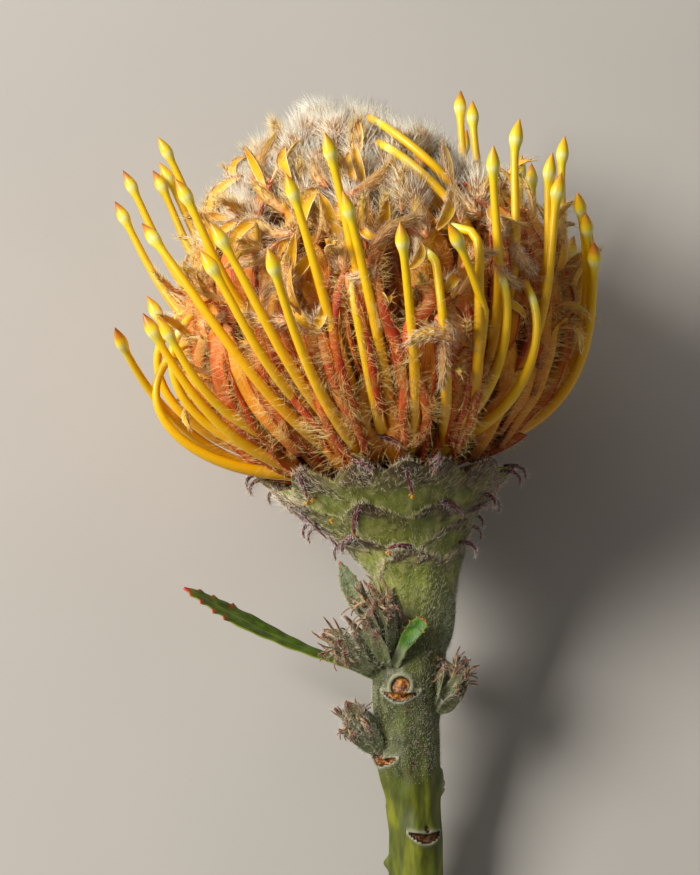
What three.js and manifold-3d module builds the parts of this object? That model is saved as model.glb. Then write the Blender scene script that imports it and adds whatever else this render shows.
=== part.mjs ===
// A cut pincushion protea bloom, lying on a table as it would once picked.
// Millimetres, +Z up. The bloom is first described upright, as it grew: x to the right, y away from the
// viewer and z up its stem, with the origin where the flower head sits on its receptacle. One group then
// lays it down, so that it rests on the cut end of its stem and on the styles under its head.
import * as THREE from "three";
import { mergeVertices } from "three/addons/utils/BufferGeometryUtils.js";
import Module from "manifold-3d";

const wasm = await Module();
wasm.setup();

// ---------------------------------------------------------------- driving dimensions (mm and degrees)
const HEAD_LEAN = 6; // the head leans to the left of its stem
const REST_TILT = 18; // how far the stem rises from the table towards the head
const STEM_END_Z = -100;
const CLEARANCE = 0.35; // left between neighbouring pieces
const PETAL_HEAD_TOP = 80;
const CROWN_LEAN = 0.14; // how far the crown is carried to the left for each millimetre above CROWN_LEAN_FROM
const CROWN_LEAN_FROM = 50;
const CROWN_FROM = 54; // height at which the closed florets take over from the open ones

const STYLE_ROOT_RADIUS = 1.45;
const STYLE_NECK_RADIUS = 0.85;
const PRESENTER_LENGTH = 5.8;
const PRESENTER_RADIUS = 1.4;
const STYLE_SIDES = 5;
const VIEW_DISTANCE = 511; // from which the bloom was looked at when its styles were measured
const VIEW_CENTRE = { x: -9, z: 9 };
const STYLE_RINGS = 6;

const SHEATH_WIDTH = 4.4;
const SHEATH_THICKNESS = 1.1;
const SHEATH_RINGS = 5;
const SHEATH_EVERY = 4; // every fourth opened floret stands out as a strip of its own

const CLOSED_FLORETS = 26;
const CLUB_LENGTH = 11.5;
const CLUB_RADIUS = 2.3;

const HIDDEN_BRACTS = 12;
const BRACT_DROP = 8; // from a bract's apex down to its foot
const BRACT_WIDTH = 13;
const BRACT_TIP_LENGTH = 6;

// Where the laid-down bloom stands in its own frame: centred under its bounding box.
const REST_SHIFT = { x: 9.535, y: 1.407 };

const COLOURS = {
  stem: 0x8b9450,
  style: 0xf2c30c,
  perianth: 0xd9692f,
  crown: 0xe2cfae,
  leaf: 0x7c8a2a,
  shoot: 0x8a8460,
};

// Half-widths of the floret mass, bottom to top, as [height, radius] along the head's own axis.
const HEAD_PROFILE = [
  [0, 20], [6, 27], [14, 34.5], [24, 39.5], [34, 41], [46, 40],
  [54, 35], [60, 27.8], [66, 22.5], [72, 17], [76, 11], [79, 4.8], [PETAL_HEAD_TOP, 0],
];

// The stem, from its cut end up to the rim of the flared receptacle, as [height, shift of its centre, radius].
const STEM_RINGS = [
  [STEM_END_Z, 4.8, 5.6], [-74, 4.7, 5.6], [-67, 4.3, 5.6], [-59, 3.5, 6.5], [-52, 2.9, 6.6], [-46, 2.8, 7.1],
  [-38, 3.6, 7.5], [-27, 4.6, 7.9], [-20, 4.4, 8.5], [-14, 2.6, 11], [-9.5, 0.7, 14.3], [-4.5, -0.2, 19.2],
  [-0.4, 0, 23.4],
];
// The cone inside the head that every style grows from, as [height, radius].
const STYLE_CONE = [[1, 10.5], [6, 12], [14, 10.5], [24, 7.5], [38, 2.5]];
const RIM = [[4.8, 0, 28.2]]; // where the highest bracts reach beyond the receptacle

// Styles that have sprung free and face the viewer, as they are seen: the head's foot is at x = 0, z = 0.
// [tip x, tip z, distance of the tip from the head's axis, x and z where the style leaves the florets,
//  degrees by which it bows to the right]
const NEAR_STYLES = [
  [-52.7, 54, 54, -17, 8], [-38.4, 54.2, 53, -15, 14], [-40.5, 48.3, 53, -20, 17], [-58.4, 32.1, 56, -26, 1],
  [-52.5, 35.1, 54, -23, 3], [-26.3, 48.9, 52, -8, 6.5, -2], [-22.5, 64.5, 49, -9, 20], [-14.3, 73.1, 45, -3, 22],
  [-10.5, 60.9, 48, -0.5, 17], [1.5, 54.4, 50, 4.5, 8], [11.6, 54.2, 49, 12, 6.5, 6], [21.2, 70.4, 46, 22, 24],
  [26.7, 76, 43, 26, 34], [33.6, 68.9, 47, 31, 30], [35.5, 64.7, 48, 28, 22], [38.9, 60.5, 50, 35, 20],
  [40.5, 56.3, 50, 36, 18], [42.4, 50, 50, 32, 12], [-45.8, 63.4, 52, -30, 36], [-49.6, 34.4, 53, -30, 12],
];
// The same for those that stand behind the middle of the head.
const FAR_STYLES = [
  [-58.4, 58.6, 60, -38, 30], [-56.7, 65.1, 58, -37, 34], [-50.4, 65.1, 55, -34, 36], [-49.1, 66.8, 55, -32, 38],
  [-49.4, 72.2, 54, -30, 36], [14.3, 81.9, 44, 17, 40], [16.8, 79.8, 44, 21, 38], [29.2, 66.6, 50, 29, 30],
];
// The side that rests on the table, which no one sees, is filled by rule: rings of free styles.
// [first azimuth, last azimuth, count, tip height, tip distance from the axis, turning height]
const HIDDEN_RINGS = [
  [86, 118, 3, 50, 46, 6],
  [100, 128, 2, 66, 44, 17],
  [132, 244, 7, 44, 54, 3],
  [141, 222, 6, 61, 52, 12],
  [150, 214, 5, 74, 48, 22],
];

// Styles still held by their floret, bowed out in a loop.
// [tip azimuth, tip height, tip radius, root azimuth, turning height, bow radius]
const HELD_STYLES = [
  [-79, 33, 40, -76, 1, 59], [-86, 40, 39, -92, 6, 57], [-70, 38, 40, -72, 7, 53],
  [-7, 43, 41, -2, 8, 46], [13, 48, 39.5, 20, 14, 48], [24, 53, 36.5, 36, 10, 48],
  [36, 41, 41, 34, 10, 48], [46, 37, 41, 42, 8, 49], [11, 74.5, 14.5, 80, 36, 38],
  [11, 68.5, 20.5, 70, 24, 45],
];

// Bracts that face the viewer, as they are seen: [apex x, apex z, x and z of the end of its curled tip].
const SEEN_BRACTS = [
  [-18.5, 4.2, -18.1, -2.5], [-18.9, -3.2, -17, -8.4], [-27.5, 0.4, -30, -5.3], [-24.8, -1.1, -29, -7.4],
  [-22.7, -4.2, -28, -9.5], [-17, -7.4, -20.5, -11.6], [-12.2, -11.1, -17, -14.7], [-6.9, -11.6, -11.1, -15.1],
  [-6.3, -4.2, -8.2, -11.6], [3.6, -14.3, -1.1, -14.9], [2.3, 4.2, 3.6, -3.6], [-7.5, 4.6, -4.4, 1.7],
  [8.8, -5.3, 14.5, -8.8], [13.6, -8.4, 20, -7.2], [18.3, 2.1, 21.8, -4.2], [9.4, 3.6, 8.2, 0.4],
];

// ---------------------------------------------------------------- small helpers
const rad = THREE.MathUtils.degToRad;
const lerp = THREE.MathUtils.lerp;
const vec = (x, y, z) => new THREE.Vector3(x, y, z);

// A repeatable draw between -1 and 1: the same index and salt give the same value on every run.
function draw(index, salt) {
  const wave = Math.sin(index * 12.9898 + salt * 78.233) * 43758.5453;
  return 2 * (wave - Math.floor(wave)) - 1;
}

// Straight-line reading of a [[x, y], ...] table that is sorted by its first column.
function readTable(table, x, column = 1) {
  const last = table.length - 1;
  if (x <= table[0][0]) return table[0][column];
  for (let i = 0; i < last; i++) {
    const [a, b] = [table[i], table[i + 1]];
    if (x <= b[0]) return lerp(a[column], b[column], (x - a[0]) / (b[0] - a[0]));
  }
  return table[last][column];
}

// A point of the head, from its distance to the head's axis, its azimuth and its height along the axis.
function headPoint(radius, azimuth, height) {
  const across = radius * Math.sin(rad(azimuth));
  const lean = rad(HEAD_LEAN);
  return vec(
    across * Math.cos(lean) - height * Math.sin(lean),
    -radius * Math.cos(rad(azimuth)),
    across * Math.sin(lean) + height * Math.cos(lean),
  );
}

// A point of the stem, whose rings tip over gradually into the lean of the head.
function stemPoint(radius, azimuth, height) {
  const rings = [...STEM_RINGS, ...RIM];
  const lean = rad(HEAD_LEAN) * THREE.MathUtils.clamp((height + 20) / 20, 0, 1);
  const across = radius * Math.sin(rad(azimuth));
  return vec(
    readTable(rings, height) - Math.max(height, 0) * Math.sin(lean) + across * Math.cos(lean),
    -radius * Math.cos(rad(azimuth)),
    height + across * Math.sin(lean),
  );
}

const massRadius = (height) => readTable(HEAD_PROFILE, height);

// A point of the floret mass, whose crown is carried over to the left.
function massPoint(radius, azimuth, height) {
  const point = headPoint(radius, azimuth, height);
  point.x -= CROWN_LEAN * Math.max(0, height - CROWN_LEAN_FROM);
  return point;
}

function bezier(a, b, c, d, t) {
  const s = 1 - t;
  return s * s * s * a + 3 * s * s * t * b + 3 * s * t * t * c + t * t * t * d;
}

// ---------------------------------------------------------------- solids
function toSolid(geometry) {
  const bare = geometry.index ? geometry.toNonIndexed() : geometry.clone();
  for (const name of Object.keys(bare.attributes)) if (name !== "position") bare.deleteAttribute(name);
  const merged = mergeVertices(bare, 1e-4);
  return new wasm.Manifold(
    new wasm.Mesh({
      numProp: 3,
      vertProperties: merged.attributes.position.array,
      triVerts: new Uint32Array(merged.index.array),
    }),
  );
}

function toGeometry(solid) {
  const mesh = solid.getMesh();
  const positions = new Float32Array(mesh.numVert * 3);
  for (let i = 0; i < mesh.numVert; i++)
    positions.set(mesh.vertProperties.subarray(i * mesh.numProp, i * mesh.numProp + 3), i * 3);
  const geometry = new THREE.BufferGeometry();
  geometry.setAttribute("position", new THREE.BufferAttribute(positions, 3));
  geometry.setIndex(new THREE.BufferAttribute(mesh.triVerts, 1));
  geometry.computeVertexNormals();
  return geometry;
}

// A closed skin over rings of points that all have the same number of corners.
function skin(rings) {
  const sides = rings[0].length;
  const points = rings.flat();
  const faces = [];
  for (let i = 0; i < rings.length - 1; i++)
    for (let j = 0; j < sides; j++) {
      const [a, b] = [i * sides + j, i * sides + ((j + 1) % sides)];
      faces.push(a, b, a + sides, b, b + sides, a + sides);
    }
  const end = (rings.length - 1) * sides;
  for (let j = 1; j < sides - 1; j++) {
    faces.push(0, j + 1, j);
    faces.push(end, end + j, end + j + 1);
  }
  const geometry = new THREE.BufferGeometry().setFromPoints(points);
  geometry.setIndex(faces);
  const solid = toSolid(geometry);
  return solid.volume() < 0 ? flip(geometry) : solid;
}

function flip(geometry) {
  const index = geometry.index.array;
  for (let i = 0; i < index.length; i += 3) [index[i + 1], index[i + 2]] = [index[i + 2], index[i + 1]];
  return toSolid(geometry);
}

// Rings of a round rod along a list of centres, each with its own radius.
function rod(centres, radii, sides, bump = 1e-3) {
  const rings = [];
  let sideways = vec(0.31, 0.87, 0.37);
  centres.forEach((centre, i) => {
    const before = centres[Math.max(0, i - 1)];
    const after = centres[Math.min(centres.length - 1, i + 1)];
    const along = after.clone().sub(before).normalize();
    sideways = sideways.clone().addScaledVector(along, -sideways.dot(along)).normalize();
    const third = along.clone().cross(sideways);
    const ring = [];
    for (let j = 0; j < sides; j++) {
      const angle = (2 * Math.PI * j) / sides;
      ring.push(
        centre
          .clone()
          .addScaledVector(sideways, Math.max(radii[i], bump) * Math.cos(angle))
          .addScaledVector(third, Math.max(radii[i], bump) * Math.sin(angle)),
      );
    }
    rings.push(ring);
  });
  return skin(rings);
}

// A blade: a flat strip along its centres, with a half-width, a sideways direction and a face direction each.
function blade(stations) {
  return skin(
    stations.map(({ centre, side, face, half, thick }) => [
      centre.clone().addScaledVector(side, -half).addScaledVector(face, -thick / 2),
      centre.clone().addScaledVector(side, half).addScaledVector(face, -thick / 2),
      centre.clone().addScaledVector(side, half).addScaledVector(face, thick / 2),
      centre.clone().addScaledVector(side, -half).addScaledVector(face, thick / 2),
    ]),
  );
}

// A solid turned about the head's axis, from [height, radius] rings.
function turned(rings, sides) {
  return skin(
    rings.map(([height, radius]) =>
      Array.from({ length: sides }, (_, j) => massPoint(radius, (360 * j) / sides, height)),
    ),
  );
}

const union = (solids) => wasm.Manifold.union(solids);

// The largest body of a solid: what cutting leaves loose beside it is dropped.
function largestBody(solid) {
  return solid.decompose().sort((a, b) => b.volume() - a.volume())[0];
}

// ---------------------------------------------------------------- laying the bloom down
const bloom = new THREE.Group();
bloom.name = "pincushion_protea";
bloom.rotation.x = -rad(90 - REST_TILT);

// The table top, in the upright bloom's own coordinates: it just touches the underside of the stem's end.
const [endZ, endX, endRadius] = STEM_RINGS[0];
const tableUp = vec(0, -Math.cos(rad(REST_TILT)), Math.sin(rad(REST_TILT)));
const table = new THREE.Plane().setFromNormalAndCoplanarPoint(tableUp, vec(endX, endRadius, endZ));
bloom.position.set(REST_SHIFT.x, REST_SHIFT.y, table.constant);

// Lifts a point that would lie lower than the table, so that what it belongs to lies along the table.
function liftAbove(point, height) {
  const below = height - table.distanceToPoint(point);
  return below > 0 ? point.addScaledVector(table.normal, below) : point;
}

// ---------------------------------------------------------------- styles
// Where a point at a known distance from the head's axis must be, to be seen at x, z by the viewer.
function placeSeen(x, z, radiusAt, side) {
  const lean = rad(HEAD_LEAN);
  let place = { radius: radiusAt(z), azimuth: 0, height: z };
  let y = 0;
  for (let step = 0; step < 8; step++) {
    const shrink = 1 + y / VIEW_DISTANCE;
    const trueX = VIEW_CENTRE.x + (x - VIEW_CENTRE.x) * shrink;
    const trueZ = VIEW_CENTRE.z + (z - VIEW_CENTRE.z) * shrink;
    const across = trueX * Math.cos(lean) + trueZ * Math.sin(lean);
    const height = trueZ * Math.cos(lean) - trueX * Math.sin(lean);
    const radius = Math.max(radiusAt(height), Math.abs(across) + 0.01);
    y = -side * Math.sqrt(radius * radius - across * across);
    place = { radius, azimuth: THREE.MathUtils.radToDeg(Math.atan2(across, -y)), height };
  }
  return place;
}

// A measured style: where its tip is and where it leaves the florets.
function seenStyle([tipX, tipZ, distance, rootX, rootZ, bow = 0], side) {
  return {
    bow,
    tip: placeSeen(tipX, tipZ, () => distance, side),
    root: placeSeen(rootX, rootZ, massRadius, side),
  };
}

function hiddenStyles([from, to, count, height, distance, turn], row) {
  return Array.from({ length: count }, (_, i) => {
    const azimuth = lerp(from, to, i / (count - 1)) + 3 * draw(i, row + 1);
    const root = turn + 3 + draw(i, row + 17);
    return {
      sides: STYLE_SIDES - 1,
      bow: 3 * draw(i, row + 23),
      tip: { radius: distance + draw(i, row + 9), azimuth, height: height + 3 * draw(i, row + 5) },
      root: { radius: massRadius(root), azimuth: azimuth + 6 * draw(i, row + 13), height: root },
    };
  });
}

const freeStyles = [
  ...NEAR_STYLES.map((row) => seenStyle(row, 1)),
  ...FAR_STYLES.map((row) => seenStyle(row, -1)),
  ...HIDDEN_RINGS.flatMap(hiddenStyles),
];

// Turns the shorter way round from one azimuth to another.
const turnTo = (from, to, share) => from + share * (((((to - from) % 360) + 540) % 360) - 180);

// The centre of a free style at t from 0, inside the head, to 1, its tip.
function freeStylePoint({ tip, root, bow }, t) {
  const turn = root.height - 3.5;
  const start = 3 + 0.35 * turn;
  const radius = bezier(readTable(STYLE_CONE, start) - 1.6, root.radius + 12, tip.radius - 6, tip.radius, t);
  const height = bezier(start, turn, tip.height - 0.36 * (tip.height - turn), tip.height, t);
  const share = Math.max(0, (t - 0.22) / 0.78);
  const azimuth = turnTo(root.azimuth, tip.azimuth, share ** 1.2) + bow * Math.sin(Math.PI * share);
  return headPoint(radius, azimuth, height);
}

function heldStylePoint([tipAzimuth, tipHeight, tipRadius, rootAzimuth, turn, bow], t) {
  const start = 3 + 0.35 * turn;
  const radius = bezier(readTable(STYLE_CONE, start) - 1.6, 42 - 0.16 * turn, bow, tipRadius, t);
  const height = bezier(start, turn, tipHeight - 10, tipHeight, t);
  return headPoint(radius, lerp(rootAzimuth, tipAzimuth, t), height);
}

// One style: a rod that tapers towards its neck and, once free, ends in a spindle-shaped presenter.
function style(place, isFree, cut, sides = STYLE_SIDES) {
  const centres = [];
  const radii = [];
  const length = place(0).distanceTo(place(1)) * 1.15;
  const neck = isFree ? 1 - PRESENTER_LENGTH / length : 1;
  for (let i = 0; i < STYLE_RINGS; i++) {
    const t = (neck * i) / (STYLE_RINGS - 1);
    const radius = lerp(STYLE_ROOT_RADIUS, STYLE_NECK_RADIUS, t / neck);
    centres.push(liftAbove(place(t), radius));
    radii.push(radius);
  }
  if (isFree) {
    for (const [share, size] of [[0.38, 1], [1, 0.14]]) {
      const radius = PRESENTER_RADIUS * size;
      centres.push(liftAbove(place(lerp(neck, 1, share)), radius));
      radii.push(radius);
    }
  }
  // A cut is made with a square rod whose flats clear the style all round.
  const flat = Math.cos(Math.PI / 4);
  return cut ? rod(centres, radii.map((r) => (r + CLEARANCE) / flat), 4) : rod(centres, radii, sides);
}

// The cone in the middle of the head that every style grows from.
function styleCone(swell) {
  const rings = STYLE_CONE.map(([height, radius]) => [height, radius + swell]);
  rings[0][0] -= swell;
  rings.at(-1)[0] += swell;
  return turned(rings, 10);
}

function styles(cut = false) {
  return union([
    styleCone(cut ? CLEARANCE : 0),
    ...freeStyles.map((s) => style((t) => freeStylePoint(s, t), true, cut, s.sides)),
    ...HELD_STYLES.map((s) => style((t) => heldStylePoint(s, t), false, cut)),
  ]);
}

// ---------------------------------------------------------------- perianths
// The opened perianth of one floret: a strip up the side of the head behind its style, curling out at its top.
function sheath({ tip, root }, index) {
  const from = root.height;
  const to = Math.min(from + 30, CROWN_FROM - 1.5);
  const curl = 9 * draw(index, 31);
  const stations = [];
  for (let i = 0; i < SHEATH_RINGS; i++) {
    const share = i / (SHEATH_RINGS - 1);
    const height = lerp(from, to, share);
    const towards = (0.5 * (height - from)) / Math.max(tip.height - from, 20);
    const azimuth = turnTo(root.azimuth, tip.azimuth, towards) + curl * share ** 4 + 4;
    const radius = massRadius(height) - 0.3 + 2.6 * share ** 5;
    const side = massPoint(radius, azimuth + 1, height).sub(massPoint(radius, azimuth - 1, height)).normalize();
    const along = massPoint(massRadius(height + 1), azimuth, height + 1)
      .sub(massPoint(massRadius(height - 1), azimuth, height - 1));
    stations.push({
      centre: massPoint(radius, azimuth, height),
      side,
      face: along.cross(side).normalize(),
      half: (SHEATH_WIDTH / 2) * (0.6 + 0.4 * Math.sin(Math.PI * share)),
      thick: SHEATH_THICKNESS,
    });
  }
  return blade(stations);
}

// The florets' tubes, close together; the open strips stand out of them.
function floretBody(swell = 0) {
  const inset = 1.1 - swell;
  const rings = [3, 8, 14, 24, 36, 46, CROWN_FROM].map((height) => [height, massRadius(height) - inset]);
  return turned([[CLEARANCE - swell, 19 + swell], ...rings], 18);
}

function perianths() {
  return union([floretBody(), ...freeStyles.filter((_, i) => i % SHEATH_EVERY === 0).map(sheath)]);
}

// ---------------------------------------------------------------- closed florets
// One closed floret: a woolly club that leans in over the crown of the head.
function club(index) {
  const share = (index + 0.5) / CLOSED_FLORETS;
  const height = lerp(59, PETAL_HEAD_TOP - 4.5, share ** 0.8);
  const azimuth = index * 137.508 + 8 * draw(index, 3);
  const here = massPoint(massRadius(height) - 3.6, azimuth, height);
  const inwards = massPoint(massRadius(height + 3) - 3.6, azimuth, height + 3).sub(here).normalize();
  const outwards = headPoint(1, azimuth, height).sub(headPoint(0, azimuth, height));
  const along = inwards.clone().addScaledVector(outwards, 0.42 + 0.2 * draw(index, 7)).normalize();
  const centres = [-0.4, 0.15, 0.45].map((s) => here.clone().addScaledVector(along, s * CLUB_LENGTH));
  return rod(centres, [0.6, 1.05, 0.35].map((s) => s * CLUB_RADIUS), 5);
}

function crown() {
  const rings = [CROWN_FROM + CLEARANCE, 60, 68, 76].map((height) => [height, massRadius(height) - 2.6]);
  return union([turned(rings, 18), ...Array.from({ length: CLOSED_FLORETS }, (_, i) => club(i))]);
}

// ---------------------------------------------------------------- stem, receptacle and bracts
function stemBody(swell = 0) {
  const sides = 12;
  return skin(
    STEM_RINGS.map(([height, , radius]) =>
      Array.from({ length: sides }, (_, j) => stemPoint(radius + swell, (360 * j) / sides, height)),
    ),
  );
}

// A bract: a broad scale that hugs the receptacle and ends in a thin tip, curled back to where end is.
function bract({ azimuth, top, width, end }) {
  const on = (down, sideways, lift) => {
    const height = top - down * BRACT_DROP;
    const radius = readTable([...STEM_RINGS, ...RIM], height, 2);
    const angle = THREE.MathUtils.radToDeg((sideways * width) / radius);
    return stemPoint(radius + lift, azimuth + angle, height);
  };
  const apex = on(0, 0, 0.8);
  const outline = [apex, on(0.35, 0.34, 0.4), on(0.65, 0.45, -0.3), on(1, 0, -0.6), on(0.65, -0.45, -0.3),
    on(0.35, -0.34, 0.4)];
  const geometry = new THREE.BufferGeometry().setFromPoints([...outline, on(0.4, 0, 1.1), on(0.5, 0, -2.2)]);
  geometry.setIndex([0, 1, 2, 3, 4, 5].flatMap((i) => [6, i, (i + 1) % 6, 7, (i + 1) % 6, i]));
  const scale = toSolid(geometry);
  const out = stemPoint(1, azimuth, top).sub(stemPoint(0, azimuth, top));
  const finish = end ?? apex.clone().addScaledVector(out, 0.5 * BRACT_TIP_LENGTH).add(vec(0, 0, -3));
  const bend = apex.clone().lerp(finish, 0.35).addScaledVector(out, 1.5).add(vec(0, 0, 0.6));
  const tip = rod([apex.clone().addScaledVector(out, -1.5), bend, finish], [0.7, 0.55, 0.3], 3);
  return (scale.volume() < 0 ? flip(geometry) : scale).add(tip);
}

// Where a point that stands clear of the stem's skin must be on the near side, to be seen at x, z.
function seenOnStem(x, z, clear) {
  const rings = [...STEM_RINGS, ...RIM];
  const [radius, centre] = [readTable(rings, z, 2) + clear, readTable(rings, z)];
  const across = THREE.MathUtils.clamp(x - centre, -0.98 * radius, 0.98 * radius);
  const shrink = 1 - Math.sqrt(radius * radius - across * across) / VIEW_DISTANCE;
  const height = VIEW_CENTRE.z + (z - VIEW_CENTRE.z) * shrink;
  const trueAcross = THREE.MathUtils.clamp(across * shrink, -0.98 * radius, 0.98 * radius);
  return { azimuth: THREE.MathUtils.radToDeg(Math.asin(trueAcross / radius)), height, radius };
}

function seenBract([apexX, apexZ, endX, endZ]) {
  const { azimuth, height } = seenOnStem(apexX, apexZ, 0);
  const end = seenOnStem(endX, endZ, 3.2);
  return { azimuth, top: height, width: BRACT_WIDTH, end: stemPoint(end.radius, end.azimuth, end.height) };
}

// The bracts on the far side follow a rule: they wind down the receptacle and grow narrower.
function hiddenBract(index) {
  const share = index / (HIDDEN_BRACTS - 1);
  return {
    azimuth: 100 + ((index * 61.8 + 4 * draw(index, 43)) % 160),
    top: lerp(4.4, -15, share ** 1.1) + 0.6 * draw(index, 41),
    width: BRACT_WIDTH * lerp(1, 0.7, share),
  };
}

// Raised leaf scars on the stem, as [azimuth, height, half-width, half-height].
const SCARS = [
  [-12, -42.4, 3.6, 3.4], [-58, -58.5, 3.2, 2.2], [20, -74.8, 3.6, 2], [-95, -80.5, 1.6, 1.8],
  [150, -52, 3.4, 2.6], [-150, -70, 3.4, 2.2], [110, -64, 3.2, 2.2],
];

function scar([azimuth, height, halfWidth, halfHeight], swell = 0) {
  const pad = new THREE.SphereGeometry(1, 7, 5);
  pad.scale(halfWidth + swell, 1.5 + swell, halfHeight + swell);
  pad.translate(0, -readTable(STEM_RINGS, height, 2) + 0.7, 0);
  pad.rotateZ(rad(azimuth));
  pad.translate(readTable(STEM_RINGS, height), 0, height);
  return toSolid(pad);
}

function stem() {
  const bracts = [
    ...SEEN_BRACTS.map((row) => bract(seenBract(row))),
    ...Array.from({ length: HIDDEN_BRACTS }, (_, i) => bract(hiddenBract(i))),
  ];
  return union([stemBody(), ...bracts, ...SCARS.map((place) => scar(place))]);
}

// ---------------------------------------------------------------- leaves and side shoots
// A leaf along a midrib curve. Widths are [share of its length, half-width] and face is its upper side.
function leaf({ midrib, widths, face, thick = 0.8, rings = 9 }, swell = 0) {
  const curve = new THREE.CatmullRomCurve3(midrib.map((p) => vec(...p)));
  const facing = vec(...face).normalize();
  const stations = [];
  for (let i = 0; i < rings; i++) {
    const share = i / (rings - 1);
    const side = curve.getTangentAt(share).cross(facing).normalize();
    stations.push({
      centre: curve.getPointAt(share),
      side,
      face: side.clone().cross(curve.getTangentAt(share)),
      half: readTable(widths, share) + swell,
      thick: thick + 2 * swell,
    });
  }
  return blade(stations);
}

const LONG_LEAF = {
  midrib: [[-4.6, 1.2, -41.4], [-12, 1.6, -38.2], [-21, 2.2, -34.8], [-32, 2, -29.6], [-44, 1, -22.6]],
  widths: [[0, 1.3], [0.2, 1.6], [0.45, 3.4], [0.7, 5], [0.86, 4.4], [0.95, 2.6], [1, 0.6]],
  face: [0.4, -0.24, 0.88],
  rings: 11,
};
const GREY_LEAF = {
  midrib: [[-4.2, -4.6, -29.4], [-7.6, -5.6, -24.4], [-11.2, -5, -16.8]],
  widths: [[0, 0.9], [0.4, 1.8], [0.75, 1.6], [1, 0.3]],
  face: [-0.35, -0.9, -0.2],
  rings: 6,
};
const FRONT_LEAF = {
  midrib: [[0.4, -7.7, -37.4], [1.8, -9.6, -34.4], [3.8, -10.6, -31.2], [5.8, -10.4, -28.2]],
  widths: [[0, 1], [0.4, 1.9], [0.75, 2.7], [1, 1.3]],
  face: [0.1, -0.9, 0.4],
  rings: 6,
};

// A side shoot: a tuft of narrow, pointed leaflets round a small core.
function shoot({ base, tip, count, spread, length }, salt, swell = 0) {
  const start = vec(...base);
  const axis = vec(...tip).sub(start).normalize();
  const side = axis.clone().cross(vec(0.2, 1, 0.1)).normalize();
  const third = axis.clone().cross(side);
  const core = rod(
    [0, 0.25, 0.6].map((s) => start.clone().addScaledVector(axis, s * length)),
    [0.24, 0.26, 0.1].map((s) => s * spread * 1.5 + swell),
    6,
  );
  const leaflets = Array.from({ length: count }, (_, i) => {
    const angle = rad(i * 137.508);
    const away = side.clone().multiplyScalar(Math.cos(angle)).addScaledVector(third, Math.sin(angle));
    const reach = length * (0.8 + 0.2 * draw(i, salt));
    const flare = spread * (i / count) ** 0.5;
    const at = (s, out) => start.clone().addScaledVector(axis, s * reach).addScaledVector(away, out * flare);
    return rod([at(0.12, 0.2), at(0.55, 0.85), at(1, 1.25)], [0.7, 1.05, 0.35].map((r) => r + swell), 3);
  });
  return union([core, ...leaflets]);
}

const SHOOTS = {
  shoot_upper: { base: [-1.4, -6.2, -37], tip: [-5.4, -10.4, -21.5], count: 8, spread: 4.6, length: 15.5 },
  shoot_left: { base: [-3.2, -4.8, -40.6], tip: [-14.6, -6.4, -31.6], count: 7, spread: 3.6, length: 14 },
  shoot_lower: { base: [-2.2, -3.2, -57.5], tip: [-11.2, -5.4, -48.6], count: 6, spread: 3.2, length: 12.5 },
  shoot_right: { base: [9.4, -3.4, -47], tip: [16.6, -4.4, -37], count: 6, spread: 3, length: 12.5 },
  shoot_far: { base: [2.6, 7, -45], tip: [0.4, 12, -33.5], count: 5, spread: 2.9, length: 12 },
};

const RIGHT_SCALE = {
  midrib: [[8.6, -3.6, -37.6], [10.6, -3.8, -32], [11, -3.8, -26], [10, -3.6, -20.4]],
  widths: [[0, 1.2], [0.3, 2.1], [0.7, 1.9], [1, 0.5]],
  face: [0.7, -0.7, 0],
  thick: 1.1,
  rings: 6,
};

// ---------------------------------------------------------------- putting it together
function add(name, solid, colour) {
  const material = new THREE.MeshStandardMaterial({ color: colour, roughness: 0.6, metalness: 0 });
  const mesh = new THREE.Mesh(toGeometry(largestBody(solid)), material);
  mesh.name = name;
  bloom.add(mesh);
}

const keptClear = styles(true);
const greenParts = stem().subtract(keptClear).subtract(floretBody(CLEARANCE));
add("styles", styles(), COLOURS.style);
add("stem", greenParts, COLOURS.stem);
add("perianths", perianths().subtract(keptClear), COLOURS.perianth);
add("closed_florets", crown().subtract(keptClear), COLOURS.crown);

// Leaves and shoots stand against the stem, each cut back by what was placed before it.
let taken = union([stemBody(CLEARANCE), ...SCARS.map((place) => scar(place, 1.3 * CLEARANCE))]);
function addClear(name, make, colour) {
  add(name, make(0).subtract(taken), colour);
  taken = taken.add(make(CLEARANCE));
}
for (const [index, [name, plan]] of Object.entries(SHOOTS).entries())
  addClear(name, (swell) => shoot(plan, index + 51, swell), COLOURS.shoot);
addClear("leaf_front", (swell) => leaf(FRONT_LEAF, swell), COLOURS.leaf);
addClear("leaf_grey", (swell) => leaf(GREY_LEAF, swell), COLOURS.leaf);
addClear("leaf_long", (swell) => leaf(LONG_LEAF, swell), COLOURS.leaf);
addClear("scale_right", (swell) => leaf(RIGHT_SCALE, swell), COLOURS.shoot);

export default bloom;
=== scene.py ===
"""A cut pincushion protea bloom that lies on a pale table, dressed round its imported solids.

All is worked out upright, in millimetres, with x to the right, y away from the camera and z up the stem,
from where the flower head sits on its receptacle. lay_down() turns it onto the table, as the solids are.
"""

import logging
import math
from collections.abc import Callable
from dataclasses import dataclass, field
from enum import Enum

import bpy
import numpy as np
from mathutils import Matrix

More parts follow.
